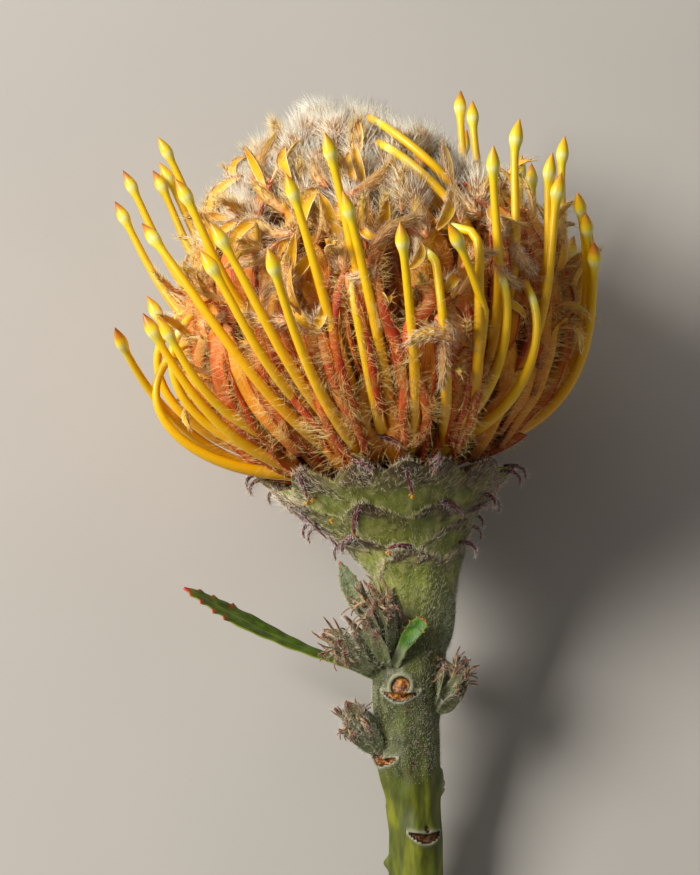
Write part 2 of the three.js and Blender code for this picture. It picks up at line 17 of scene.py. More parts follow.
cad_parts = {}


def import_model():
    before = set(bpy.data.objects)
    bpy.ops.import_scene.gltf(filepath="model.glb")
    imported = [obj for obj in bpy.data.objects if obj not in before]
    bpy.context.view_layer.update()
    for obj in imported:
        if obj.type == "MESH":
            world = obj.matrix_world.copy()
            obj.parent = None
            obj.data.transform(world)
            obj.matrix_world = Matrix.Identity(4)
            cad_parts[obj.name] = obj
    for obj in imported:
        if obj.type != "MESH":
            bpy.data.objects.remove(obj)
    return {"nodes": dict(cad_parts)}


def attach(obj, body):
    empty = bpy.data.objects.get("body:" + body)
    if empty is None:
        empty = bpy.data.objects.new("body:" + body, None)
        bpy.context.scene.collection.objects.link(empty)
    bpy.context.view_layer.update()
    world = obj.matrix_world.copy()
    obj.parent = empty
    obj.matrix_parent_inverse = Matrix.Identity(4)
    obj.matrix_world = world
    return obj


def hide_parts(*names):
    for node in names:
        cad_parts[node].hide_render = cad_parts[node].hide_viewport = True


Array = np.ndarray
Rng = np.random.Generator
Socket = bpy.types.NodeSocket
log = logging.getLogger("bloom")

# ---- sizes shared with the solids, in mm
LEAN = math.radians(6)  # of the head, to the left of its stem
LEAN_COS, LEAN_SIN = math.cos(LEAN), math.sin(LEAN)
REST_TILT = math.radians(18)  # of the stem, up from the table
REST_SHIFT = (9.535, 1.407)
STEM_END = -100.0
VIEW_DISTANCE = 511.0
VIEW_CENTRE = (-9.0, 9.0)
SIGHT_STEPS = 8  # rounds in which a sight line is followed to the surface that it meets
GOLDEN_ANGLE = 137.508
WAX_SPAN = 70.0  # from a style's tip, over which its colour is laid
# [height, x] of the crown's right-hand outline
CROWN_RIGHT = (
    (50, 36), (53.6, 33), (56.7, 27), (59.9, 20), (63, 15.5), (67.2, 12.2), (71.4, 7.8), (75.6, -2.7),
    (80, -12),
)
CROWN_LEAN = 0.14  # how far the crown is carried to the left for each millimetre above CROWN_LEAN_FROM
CROWN_LEAN_FROM = 50.0
# [height, radius]
HEAD_PROFILE = (
    (0, 20), (6, 27), (14, 34.5), (24, 39.5), (34, 41), (46, 40), (54, 35), (60, 27.8), (66, 22.5), (72, 17),
    (76, 11), (79, 4.8), (80, 0),
)
STYLE_CONE = ((1, 10.5), (6, 12), (14, 10.5), (24, 7.5), (38, 2.5))  # inside the head
# [height, x of the middle, radius]
STEM_RINGS = (
    (STEM_END, 4.8, 5.6), (-74, 4.7, 5.6), (-67, 4.3, 5.6), (-59, 3.5, 6.5), (-52, 2.9, 6.6), (-46, 2.8, 7.1),
    (-38, 3.6, 7.5), (-27, 4.6, 7.9), (-20, 4.4, 8.5), (-14, 2.6, 11), (-9.5, 0.7, 14.3), (-4.5, -0.2, 19.2),
    (-0.4, 0, 23.4), (4.8, 0, 28.2),
)
# [tip x, tip z, distance of the tip from the head's axis, x and z where it leaves the florets, sideways bow]
NEAR_STYLES = (
    (-52.7, 54, 54, -17, 8, 0), (-38.4, 54.2, 53, -15, 14, 0), (-40.5, 48.3, 53, -20, 17, 0),
    (-58.4, 32.1, 56, -26, 1, 0), (-52.5, 35.1, 54, -23, 3, 0), (-26.3, 48.9, 52, -8, 6.5, -2),
    (-22.5, 64.5, 49, -9, 20, 0), (-14.3, 73.1, 45, -3, 22, 0), (-10.5, 60.9, 48, -0.5, 17, 0),
    (1.5, 54.4, 50, 4.5, 8, 0), (11.6, 54.2, 49, 12, 6.5, 6), (21.2, 70.4, 46, 22, 24, 0),
    (26.7, 76, 43, 26, 34, 0), (33.6, 68.9, 47, 31, 30, 0), (35.5, 64.7, 48, 28, 22, 0),
    (38.9, 60.5, 50, 35, 20, 0), (40.5, 56.3, 50, 36, 18, 0), (42.4, 50, 50, 32, 12, 0),
    (-45.8, 63.4, 52, -30, 36, 0), (-49.6, 34.4, 53, -30, 12, 0),
)
FAR_STYLES = (
    (-58.4, 58.6, 60, -38, 30, 0), (-56.7, 65.1, 58, -37, 34, 0), (-50.4, 65.1, 55, -34, 36, 0),
    (-49.1, 66.8, 55, -32, 38, 0), (-49.4, 72.2, 54, -30, 36, 0), (14.3, 81.9, 44, 17, 40, 0),
    (16.8, 79.8, 44, 21, 38, 0), (29.2, 66.6, 50, 29, 30, 0),
)
RIPEST = (0, 3, 4, 17, 20, 21, 22)  # of the near and then the far styles, those with the brownest tips
# [first azimuth, last azimuth, count, tip height, tip distance from the axis, turning height]
HIDDEN_RINGS = (
    (86, 118, 3, 50, 46, 6), (100, 128, 2, 66, 44, 17), (132, 244, 7, 44, 54, 3),
    (141, 222, 6, 61, 52, 12), (150, 214, 5, 74, 48, 22),
)
# [tip azimuth, tip height, tip radius, root azimuth, turning height, bow radius]
HELD_STYLES = (
    (-79, 33, 40, -76, 1, 59), (-86, 40, 39, -92, 6, 57), (-70, 38, 40, -72, 7, 53), (-7, 43, 41, -2, 8, 46),
    (36, 41, 41, 34, 10, 48), (46, 37, 41, 42, 8, 49), (11, 74.5, 14.5, 80, 36, 38),
    (11, 68.5, 20.5, 70, 24, 45),
)
# Two held styles that have buckled into a corner: x, z and distance from the floret mass, from root to tip.
KINKED_STYLES = (
    ((7, 5, -14), (10.9, 8.4, -2.5), (11.3, 20, 3.5), (10.5, 34.9, 5), (9, 46.4, 4.2), (5.2, 49.6, -0.5)),
    ((12, 6, -14), (16.2, 11.4, -2.5), (17.9, 24, 3.5), (18.3, 47.2, 5), (17.4, 52.1, 4.4), (9, 54.2, -0.5)),
)
TABLE_NORMAL = np.array([0.0, -math.cos(REST_TILT), math.sin(REST_TILT)])
TABLE_ALONG = np.array([0.0, math.sin(REST_TILT), math.cos(REST_TILT)])
TABLE_LIFT = -float(TABLE_NORMAL @ np.array([STEM_RINGS[0][1], STEM_RINGS[0][2], STEM_END]))


# ---- arithmetic on whole arrays
def draw(index: Array, salt: float) -> Array:
    """A repeatable draw between -1 and 1 by the broken-off part of a large sine, as the solids use it."""
    wave = np.sin(np.asarray(index) * 12.9898 + salt * 78.233) * 43758.5453
    return 2 * (wave - np.floor(wave)) - 1


def rise(value: Array, low: float, high: float) -> Array:
    """A smooth step: 0 below low, 1 above high, and 3t^2 - 2t^3 between them."""
    t = np.clip((np.asarray(value, dtype=float) - low) / (high - low), 0, 1)
    return t * t * (3 - 2 * t)


def unit(vectors: Array) -> Array:
    """The same directions at length 1."""
    return vectors / np.maximum(np.linalg.norm(vectors, axis=-1, keepdims=True), 1e-9)


def dot(a: Array, b: Array) -> Array:
    """Row by row dot product, kept as a column."""
    return np.sum(a * b, axis=-1, keepdims=True)


def table(rows: tuple, at: Array, column: int = 1) -> Array:
    """Straight-line reading of a table that is sorted by its first column."""
    data = np.array(rows, dtype=float)
    return np.interp(at, data[:, 0], data[:, column])


def bezier(a: Array, b: Array, c: Array, d: Array, t: Array) -> Array:
    """Cubic Bezier between a and d, pulled towards b and c."""
    s = 1 - t
    return s**3 * a + 3 * s * s * t * b + 3 * s * t * t * c + t**3 * d


def distances(lines: Array) -> Array:
    """How far along its line each point is: the lengths of the steps, added up."""
    steps = np.linalg.norm(np.diff(lines, axis=-2), axis=-1)
    return np.concatenate([np.zeros((*steps.shape[:-1], 1)), np.cumsum(steps, axis=-1)], axis=-1)


def reread(line: Array, gone: Array, at: Array) -> Array:
    """A line, whose points lie at the distances gone, read at the distances at."""
    return np.stack([np.interp(at, gone, column) for column in line.T], axis=1)


def smoothed(line: Array, weights: Array) -> Array:
    """A line under a moving average with these weights, its ends turned over so that they stay in place."""
    margin = len(weights) // 2
    padded = np.pad(line, ((margin, margin), (0, 0)), mode="reflect", reflect_type="odd")
    return np.stack([np.convolve(column, weights / weights.sum(), "valid") for column in padded.T], axis=1)


def smooth_curve(points: tuple, share: Array) -> Array:
    """A curve through points by Catmull-Rom cubics of 60 steps each, read at shares of its length.

    Args:
        points: the points, from foot to end.
        share: where it is read.

    Returns:
        A point for each share.
    """
    p = np.array(points, dtype=float)
    p = np.concatenate([2 * p[:1] - p[1:2], p, 2 * p[-1:] - p[-2:-1]])
    t = np.linspace(0, 1, 60)[:, None]
    parts = [
        0.5 * (2 * b + (c - a) * t + (2 * a - 5 * b + 4 * c - d) * t**2 + (3 * b - a - 3 * c + d) * t**3)
        for a, b, c, d in zip(p[:-3], p[1:-2], p[2:-1], p[3:])
    ]
    line = np.concatenate(parts)
    gone = distances(line)
    return reread(line, gone, share * gone[-1])


def ripple(points: Array, wavelength: float, seed: int) -> Array:
    """Soft bumps between about -1 and 1: the mean of five seeded plane sines, about one wavelength long.

    Args:
        points: where they are read.
        wavelength: the waves' length.
        seed: for their directions, lengths and phases.

    Returns:
        A number for each point.
    """
    rng = np.random.default_rng(seed)
    directions = unit(rng.normal(size=(5, 3)))
    lengths = wavelength * rng.uniform(0.7, 1.5, 5)
    phases = rng.uniform(0, 2 * math.pi, 5)
    return np.sin(points @ directions.T * (2 * math.pi / lengths) + phases).mean(axis=-1) * 1.6


def head_point(radius: Array, azimuth: Array, height: Array) -> Array:
    """A point of the head, whose axis leans to the left by LEAN.

    Args:
        radius: its distance from the axis.
        azimuth: 0 towards the camera and 90 to the right.
        height: how far it is up the axis.

    Returns:
        The upright point.
    """
    radius, azimuth, height = np.broadcast_arrays(radius, np.radians(azimuth), height)
    across = radius * np.sin(azimuth)
    x, z = across * LEAN_COS - height * LEAN_SIN, across * LEAN_SIN + height * LEAN_COS
    return np.stack([x, -radius * np.cos(azimuth), z], axis=-1)


HEAD_AXIS = head_point(0.0, 0.0, 1.0)


def mass_point(radius: Array, azimuth: Array, height: Array) -> Array:
    """A point of the floret mass, which leans a little further to the left above CROWN_LEAN_FROM."""
    points = head_point(radius, azimuth, height)
    carried = CROWN_LEAN * np.maximum(np.broadcast_to(height, points.shape[:-1]) - CROWN_LEAN_FROM, 0)
    return points - carried[..., None] * np.array([1.0, 0.0, 0.0])


def outward(azimuth: Array) -> Array:
    """The direction straight away from the head's axis."""
    return head_point(1.0, azimuth, 0.0)


def around(azimuth: Array) -> Array:
    """The direction in which the head's azimuth grows."""
    return outward(np.asarray(azimuth) + 90)


def azimuth_of(points: Array) -> Array:
    """Azimuths of upright points about the head's foot."""
    return np.degrees(np.arctan2(points[..., 0] + points[..., 2] * math.tan(LEAN), -points[..., 1]))


def turn_to(start: Array, end: Array, share: Array) -> Array:
    """Turns the shorter way round from one azimuth to another."""
    return start + share * (np.mod(np.asarray(end) - start + 540, 360) - 180)


def stem_point(radius: Array, azimuth: Array, height: Array) -> Array:
    """A point of the stem, whose rings tip over gradually into the lean of the head.

    Args:
        radius: its distance from the stem's middle.
        azimuth: as on the head.
        height: how far it is up the stem.

    Returns:
        The upright point.
    """
    radius, azimuth, height = np.broadcast_arrays(radius, np.radians(azimuth), height)
    lean = LEAN * np.clip((height + 20) / 20, 0, 1)
    across = radius * np.sin(azimuth)
    x = table(STEM_RINGS, height) - np.maximum(height, 0) * np.sin(lean) + across * np.cos(lean)
    return np.stack([x, -radius * np.cos(azimuth), height + across * np.sin(lean)], axis=-1)


def lay_down(points: Array) -> Array:
    """Turns upright millimetres onto the table, about x by 90 degrees less REST_TILT, and into metres."""
    y, z = points @ TABLE_ALONG + REST_SHIFT[1], points @ TABLE_NORMAL + TABLE_LIFT
    return np.stack([points[..., 0] + REST_SHIFT[0], y, z], axis=-1) / 1000


def lift_above(points: Array, clearance: Array) -> Array:
    """Moves upright points that would lie closer to the table than a clearance straight up from it."""
    below = clearance - (points @ TABLE_NORMAL + TABLE_LIFT)
    return points + np.maximum(below, 0)[..., None] * TABLE_NORMAL


def sight(x: Array, z: Array, reach: Callable, side: float = 1.0, carry: float = 0.0) -> tuple[Array, ...]:
    """Follows sight lines, step by step, to where they meet something round about the head's axis.

    Args:
        x: how far right of the head's foot each point is seen.
        z: how far above it.
        reach: gives the radius that is met, from the height along the axis and the distance across it.
        side: 1 for the near side of the head, -1 for the far side.
        carry: how far the axis leans further to the left for each millimetre above CROWN_LEAN_FROM.

    Returns:
        The points' x, y and z, and their distance across the axis and height along it.
    """
    y = np.zeros(np.shape(x))
    for _ in range(SIGHT_STEPS):
        shrink = 1 + y / VIEW_DISTANCE
        true_x = VIEW_CENTRE[0] + (x - VIEW_CENTRE[0]) * shrink
        true_z = VIEW_CENTRE[1] + (z - VIEW_CENTRE[1]) * shrink
        height = true_z * LEAN_COS - true_x * LEAN_SIN
        carried = carry * np.maximum(height - CROWN_LEAN_FROM, 0)
        across = (true_x + carried) * LEAN_COS + true_z * LEAN_SIN
        y = -side * np.sqrt(np.maximum(reach(height, across) ** 2 - across**2, 0.0))
    return true_x, y, true_z, across, height


# ---- meshes
class Mould:
    """Gathers closed surfaces in upright millimetres and casts them as one Blender piece."""

    def __init__(self, *marks: str) -> None:
        """Starts empty. marks are the names of the numbers that every point carries for the materials."""
        self.marks: dict[str, list[Array]] = {name: [] for name in marks}
        self.points: list[Array] = []
        self.loops: list[Array] = []
        self.sizes: list[Array] = []
        self.uvs: list[Array] = []
        self.count = 0

    def _keep(self, loops: Array, size: int, uvs: Array) -> None:
        """Stores faces that all have the same number of corners."""
        self.loops.append(loops.reshape(-1))
        self.sizes.append(np.full(loops.size // size, size))
        self.uvs.append(uvs.reshape(-1, 2))

    def shells(
        self, grid: Array, across: Array | None = None, along: Array | None = None, **marks: Array | float
    ) -> None:
        """Adds closed shells: each grid is wrapped round its columns, and its first and last rows are capped.

        Args:
            grid: points by shell, row and column.
            across: the u of each column, when it isn't simply once round.
            along: the v of each row, by shell and row, when it isn't simply from 0 to 1.
            marks: for each mark's name, values that spread over shell, row and column.
        """
        shells, rows, columns = grid.shape[:3]
        ids = self.count + np.arange(shells * rows * columns).reshape(shells, rows, columns)
        right = np.roll(ids, -1, axis=2)
        u = np.arange(columns + 1) / columns if across is None else np.append(across, across[0])
        v = np.broadcast_to(np.linspace(0, 1, rows) if along is None else along, (shells, rows))
        quads = np.stack([ids[:, :-1], right[:, :-1], right[:, 1:], ids[:, 1:]], axis=-1)
        low, high = v[:, :-1, None], v[:, 1:, None]
        corners = ((u[:-1], low), (u[1:], low), (u[1:], high), (u[:-1], high))
        quad_uv = np.stack([np.stack(np.broadcast_arrays(*corner), axis=-1) for corner in corners], axis=-2)
        caps = np.stack([ids[:, 0, ::-1], ids[:, -1]], axis=1)
        cap_u = np.stack([u[:-1][::-1], u[:-1]])
        cap_uv = np.stack(np.broadcast_arrays(cap_u, v[:, [0, -1], None]), axis=-1)
        if self.volume(grid) < 0:
            quads, quad_uv = quads[..., ::-1], quad_uv[..., ::-1, :]
            caps, cap_uv = caps[..., ::-1], cap_uv[..., ::-1, :]
        self._keep(quads, 4, quad_uv)
        self._keep(caps, columns, cap_uv)
        for name, values in self.marks.items():
            values.append(np.broadcast_to(marks.get(name, 0.0), ids.shape).reshape(-1))
        self.points.append(grid.reshape(-1, 3))
        self.count += ids.size

    @staticmethod
    def volume(grid: Array) -> float:
        """Six times the first shell's volume, negative where its faces point inwards."""
        shell = grid[0] - grid[0].mean(axis=(0, 1))
        a, b = shell[:-1], np.roll(shell, -1, axis=1)[:-1]
        c, d = np.roll(shell, -1, axis=1)[1:], shell[1:]
        return float((np.cross(a, b) * c).sum() + (np.cross(a, c) * d).sum())

    def hairs(self, roots: Array, ways: Array, lengths: Array, thick: float) -> None:
        """Adds hairs: each a slim closed spike with three corners round its root and one at its tip.

        Args:
            roots: where the hairs grow, one row each.
            ways: the directions in which they point.
            lengths: their lengths.
            thick: radius at the root.
        """
        side = unit(np.cross(ways, np.array([0.37, 0.52, 0.77])))
        turns = np.radians([0, 120, 240])[:, None]
        ring = np.cos(turns) * side[:, None] + np.sin(turns) * np.cross(ways, side)[:, None]
        tips = roots + ways * lengths[:, None]
        points = np.concatenate([roots[:, None] + ring * thick, tips[:, None]], axis=1)
        corners = np.array([[0, 1, 3], [1, 2, 3], [2, 0, 3], [2, 1, 0]])
        uvs = np.stack([np.full(corners.shape, 0.5), corners == 3], axis=-1)
        loops = self.count + 4 * np.arange(len(roots))[:, None, None] + corners
        self._keep(loops, 3, np.broadcast_to(uvs, (len(roots), *uvs.shape)))
        self.points.append(points.reshape(-1, 3))
        self.count += 4 * len(roots)

    def fleece(
        self, rng: Rng, grid: Array, count: int, rows: tuple, columns: tuple, lie: tuple, length: tuple,
        thick: float,
    ) -> None:
        """Grows hairs on shells.

        Args:
            rng: for the draws.
            grid: the shells' points.
            count: how many hairs.
            rows: the lowest and highest share of the rows that bear them.
            columns: the same for the columns.
            lie: shares of the normal, the rows' direction, the head's axis and chance in their direction.
            length: the shortest and the longest.
            thick: radius at the root.
        """
        place, normal, along = scatter(grid, count, rng, rows, columns)
        way = lie[0] * normal + lie[1] * along + lie[2] * HEAD_AXIS + rng.normal(0, lie[3], normal.shape)
        self.hairs(place, unit(way), rng.uniform(*length, count), thick)

    def cast(self, name: str, finish: "Finish", slot: str, node: str) -> None:
        """Makes the piece, lays it on the table, hangs it from the root and hides the solid that it stands
        for.

        Args:
            name: the piece's name.
            finish: what it is dressed in.
            slot: the record's material slot; not used.
            node: the solid that it stands for.
        """
        points = lay_down(np.concatenate(self.points))
        points[:, 2] = np.maximum(points[:, 2], 0.0)
        loops, sizes = np.concatenate(self.loops), np.concatenate(self.sizes)
        mesh = bpy.data.meshes.new(name)
        mesh.vertices.add(len(points))
        mesh.vertices.foreach_set("co", points.astype(np.float32).reshape(-1))
        mesh.loops.add(len(loops))
        mesh.loops.foreach_set("vertex_index", loops.astype(np.int32))
        mesh.polygons.add(len(sizes))
        mesh.polygons.foreach_set("loop_start", (np.cumsum(sizes) - sizes).astype(np.int32))
        mesh.polygons.foreach_set("use_smooth", np.ones(len(sizes), dtype=bool))
        mesh.update(calc_edges=True)
        layer = mesh.uv_layers.new(name="UVMap")
        layer.data.foreach_set("uv", np.concatenate(self.uvs).astype(np.float32).reshape(-1))
        for mark, values in self.marks.items():
            made = mesh.attributes.new(mark, "FLOAT", "POINT")
            made.data.foreach_set("value", np.concatenate(values).astype(np.float32))
        mesh.materials.append(finish.material())
        piece = bpy.data.objects.new(name, mesh)
        bpy.context.scene.collection.objects.link(piece)
        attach(piece, "root")
        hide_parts(node)
        log.info("%s: %d triangles", name, int((sizes - 2).sum()))


def frames(centres: Array, towards: Array) -> tuple[Array, Array]:
    """Directions across and out of many curves.

    Args:
        centres: points by curve and row.
        towards: a direction near the wanted sideways one.

    Returns:
        The sideways direction, square to each curve, and the one square to both.
    """
    along = unit(np.gradient(centres, axis=1))
    side = unit(towards - dot(towards, along) * along)
    return side, np.cross(side, along)


def tubes(centres: Array, radii: Array, sides: int, towards: Array, flat: float = 1.0) -> Array:
    """Round tubes along curves: circles of the given radii, square to each curve.

    Args:
        centres: points by curve and row.
        radii: a radius for each curve and row.
        sides: points round the tube.
        towards: a direction near the wanted sideways one.
        flat: the tubes' depth over their width.

    Returns:
        A grid for Mould.shells.
    """
    side, out = frames(centres, towards)
    turns = np.linspace(0, 2 * math.pi, sides, endpoint=False)[:, None]
    across = np.cos(turns) * side[:, :, None] + np.sin(turns) * flat * out[:, :, None]
    return centres[:, :, None] + across * radii[..., None, None]


@dataclass
class Blades:
    """Many thin closed blades along curves: strips, scales, leaves and limbs.

    A blade's section is an arc of half-length `half` that turns by `fold` radians, never 0, to each side. A
    positive fold lifts its edges into a channel and a negative one turns them in. Its wall is 0.35 + hem
    times as thick at the edges as in the middle.
    """

    centres: Array
    towards: Array
    half: Array
    fold: Array
    thick: float
    columns: int = 7
    hem: float = 0.0

    def grid(self) -> Array:
        """The blades' skins, outer face first and back along the inner face.

        Returns:
            A grid for Mould.shells.
        """
        side, out = (way[:, :, None] for way in frames(self.centres, self.towards))
        u = np.linspace(-1, 1, self.columns)
        shape = self.centres.shape[:2]
        half, fold = (np.broadcast_to(size, shape)[..., None] for size in (self.half, self.fold))
        turn, radius = (fold * u)[..., None], (half / fold)[..., None]
        middle = self.centres[:, :, None] + side * radius * np.sin(turn) + out * radius * (1 - np.cos(turn))
        wall = self.thick * (1 + (self.hem - 0.65) * np.abs(u) ** 3) / 2
        skin = (out * np.cos(turn) - side * np.sin(turn)) * wall[:, None]
        return np.concatenate([middle + skin, (middle - skin)[:, :, ::-1]], axis=2)

    def add_to(self, mould: Mould, grid: Array, **marks: Array | float) -> None:
        """Adds the grid to a mould, with u from 0 to 1 over the outer face and back, and `back` 1 inside."""
        u = np.linspace(0, 1, self.columns)
        mould.shells(grid, np.concatenate([u, u[::-1]]), back=np.repeat([0.0, 1.0], self.columns), **marks)


def scatter(grid: Array, count: int, rng: Rng, rows: tuple, columns: tuple) -> tuple[Array, Array, Array]:
    """Picks places on shells.

    Args:
        grid: the shells' points.
        count: how many places.
        rng: for the draws.
        rows: the lowest and highest share of the rows to use.
        columns: the same for the columns.

    Returns:
        Places, outward unit normals and directions along the rows.
    """
    shells, row_count, column_count = grid.shape[:3]
    shell = rng.integers(0, shells, count)
    row = rng.uniform(rows[0] * (row_count - 1), rows[1] * (row_count - 1) - 1e-6, count)
    column = rng.uniform(columns[0] * column_count, columns[1] * column_count, count)
    r, c = row.astype(int), column.astype(int) % column_count
    fr, fc = (row - r)[:, None], (column - np.floor(column))[:, None]
    following = (c + 1) % column_count
    a, b = grid[shell, r, c], grid[shell, r, following]
    d, e = grid[shell, r + 1, c], grid[shell, r + 1, following]
    place = (a * (1 - fc) + b * fc) * (1 - fr) + (d * (1 - fc) + e * fc) * fr
    normal = unit(np.cross(b + e - a - d, d + e - a - b)) * math.copysign(1.0, Mould.volume(grid))
    return place, normal, unit(d + e - a - b)


# ---- finishes
def shade(code: str) -> tuple[float, float, float, float]:
    """A hex colour as linear red, green, blue and a full alpha."""
    parts = [int(code[i : i + 2], 16) / 255 for i in (1, 3, 5)]
    red, green, blue = (p / 12.92 if p <= 0.04045 else ((p + 0.055) / 1.055) ** 2.4 for p in parts)
    return red, green, blue, 1.0


class Paint:
    """A material's node tree, with one short method for each kind of node that the finishes use."""

    def __init__(self, name: str, roughness: float) -> None:
        """Makes the material and its shader."""
        self.material = bpy.data.materials.new(name)
        self.material.use_nodes = True
        self.tree = self.material.node_tree
        self.shader = self.tree.nodes["Principled BSDF"]
        self.shader.inputs["Roughness"].default_value = roughness
        self.colour: object = "#ffffff"

    def _node(self, kind: str, **inputs: object) -> bpy.types.Node:
        """Adds a node and sets or links its inputs by name."""
        node = self.tree.nodes.new(kind)
        for name, value in inputs.items():
            self._set(node.inputs[name.replace("_", " ")], value)
        return node

    def _set(self, socket: Socket, value: object) -> None:
        """Links a socket, or gives it a constant."""
        if isinstance(value, bpy.types.NodeSocket):
            self.tree.links.new(value, socket)
        else:
            socket.default_value = shade(value) if isinstance(value, str) else value

    def _uv(self) -> Socket:
        """The piece's own texture place."""
        node = self._node("ShaderNodeUVMap")
        node.uv_map = "UVMap"
        return node.outputs["UV"]

    def across(self) -> Socket:
        """The texture place's u, across the piece."""
        return self._node("ShaderNodeSeparateXYZ", Vector=self._uv()).outputs["X"]

    def along(self) -> Socket:
        """The texture place's v, along the piece."""
        return self._node("ShaderNodeSeparateXYZ", Vector=self._uv()).outputs["Y"]

    def aside(self) -> Socket:
        """How far u is from the middle."""
        return self.math("ABSOLUTE", self.math("SUBTRACT", self.across(), 0.5), 0.0)

    def mark(self, name: str) -> Socket:
        """A number that the mesh's points carry."""
        node = self._node("ShaderNodeAttribute")
        node.attribute_name = name
        return node.outputs["Fac"]

    def _noise(self, place: Socket, stretch: tuple, scale: float, detail: float) -> Socket:
        """Cloudy noise around a half."""
        mapping = self._node("ShaderNodeMapping", Vector=place, Scale=stretch)
        vector = mapping.outputs["Vector"]
        return self._node("ShaderNodeTexNoise", Vector=vector, Scale=scale, Detail=detail).outputs["Fac"]

    def cloud(self, scale: float, detail: float, stretch: tuple = (1, 1, 1)) -> Socket:
        """Noise by the place on the object, stretched along its axes."""
        return self._noise(self._node("ShaderNodeTexCoord").outputs["Object"], stretch, scale, detail)

    def streaks(self, across: float, along: float, scale: float, detail: float) -> Socket:
        """Noise by the texture place, stretched into streaks that follow the surface."""
        return self._noise(self._uv(), (across, along, 1), scale, detail)

    def ramp(self, fac: Socket, *stops: tuple[float, str]) -> Socket:
        """Colours along a number.

        Args:
            fac: the number.
            stops: place and hex colour of each stop.

        Returns:
            The colour.
        """
        node = self._node("ShaderNodeValToRGB", Fac=fac)
        elements = node.color_ramp.elements
        while len(elements) < len(stops):
            elements.new(0.5)
        for element, (place, code) in zip(elements, stops):
            element.position = place
            element.color = shade(code)
        return node.outputs["Color"]

    def tones(self, fac: Socket, spread: float, *codes: str) -> Socket:
        """Three colours along a noise: below, at and above a half, by the spread."""
        return self.ramp(fac, *zip((0.5 - spread, 0.5, 0.5 + spread), codes))

    def band(self, fac: Socket, low: float, high: float) -> Socket:
        """A number spread so that low gives 0 and high gives 1, and held there beyond them."""
        node = self._node("ShaderNodeMapRange", Value=fac, From_Min=low, From_Max=high)
        node.interpolation_type = "SMOOTHSTEP"
        return node.outputs["Result"]

    def math(self, how: str, a: object, b: object) -> Socket:
        """Arithmetic on two numbers."""
        node = self._node("ShaderNodeMath")
        node.operation = how
        self._set(node.inputs[0], a)
        self._set(node.inputs[1], b)
        return node.outputs[0]

    def blend(self, fac: Socket, low: object, high: object) -> Socket:
        """Mixes two colours by a number."""
        node = self._node("ShaderNodeMix")
        node.data_type = "RGBA"
        for place, value in ((0, fac), (6, low), (7, high)):
            self._set(node.inputs[place], value)
        return node.outputs[2]

    def tint(self, fac: Socket, colour: object, strength: float | Socket = 1.0) -> None:
        """Lays a colour over what is there, by a number times the strength."""
        if strength != 1.0:
            fac = self.math("MULTIPLY", fac, strength)
        self.colour = self.blend(fac, self.colour, colour)

    def bump(self, height: Socket, strength: float, depth: float) -> None:
        """Raises the surface's shading by a number; depth is in metres."""
        node = self._node("ShaderNodeBump", Height=height, Strength=strength, Distance=depth)
        self._set(self.shader.inputs["Normal"], node.outputs["Normal"])

    def glow(self, weight: float, radius: tuple[float, float, float]) -> None:
        """Lets light through the tissue, as far as radius in metres for red, green and blue."""
        self.shader.inputs["Subsurface Weight"].default_value = weight
        self.shader.inputs["Subsurface Radius"].default_value = radius

    def done(self) -> bpy.types.Material:
        """Links the colour and gives the finished material."""
        self._set(self.shader.inputs["Base Color"], self.colour)
        return self.material


@dataclass(frozen=True)
class Finish:
    """What a piece is dressed in."""

    name: str = "finish"
    roughness: float = 0.6

    def material(self) -> bpy.types.Material:
        """The finish's material, made once and shared."""
        made = bpy.data.materials.get(self.name)
        if made is None:
            paint = Paint(self.name, self.roughness)
            self.dress(paint)
            made = paint.done()
        return made

    def dress(self, paint: Paint) -> None:
        """Fills in the node tree."""
        raise NotImplementedError


@dataclass(frozen=True)
class StyleWax(Finish):
    """Waxy yellow of the styles: v is the distance from the tip over WAX_SPAN."""

    name: str = "style_wax"
    roughness: float = 0.34

    def dress(self, paint: Paint) -> None:
        """Colours by distance from the tip, a browner tip on riper styles, and faint streaks."""
        v = paint.along()
        # The pale stops at 0.062 and 0.072 make a pale band round the base of each knob. The styles have this
        # band, and it is painted paler still as a highlight.
        paint.colour = paint.ramp(
            v, (0, "#d8900e"), (0.012, "#f0b010"), (0.034, "#f8cc14"), (0.05, "#fae030"), (0.062, "#fdf39c"),
            (0.072, "#fbee6c"), (0.086, "#f6dc24"), (0.112, "#f8ca0c"), (0.4, "#f6bc04"), (0.7, "#eaa604"),
            (0.88, "#b98a08"), (1, "#7c6c10"),
        )
        ripe = paint.ramp(v, (0, "#8f4212"), (0.012, "#c06a14"), (0.03, "#e49c1e"), (0.048, "#fae030"))
        paint.tint(paint.mark("ripe"), ripe, paint.ramp(v, (0.03, "#ffffff"), (0.05, "#000000")))
        streaks = paint.streaks(14, 9, 3.0, 4)
        paint.tint(paint.band(streaks, 0.5, 0.75), "#d8920a", 0.5)
        paint.bump(streaks, 0.12, 0.0003)
        paint.glow(0.06, (0.002, 0.0012, 0.0004))


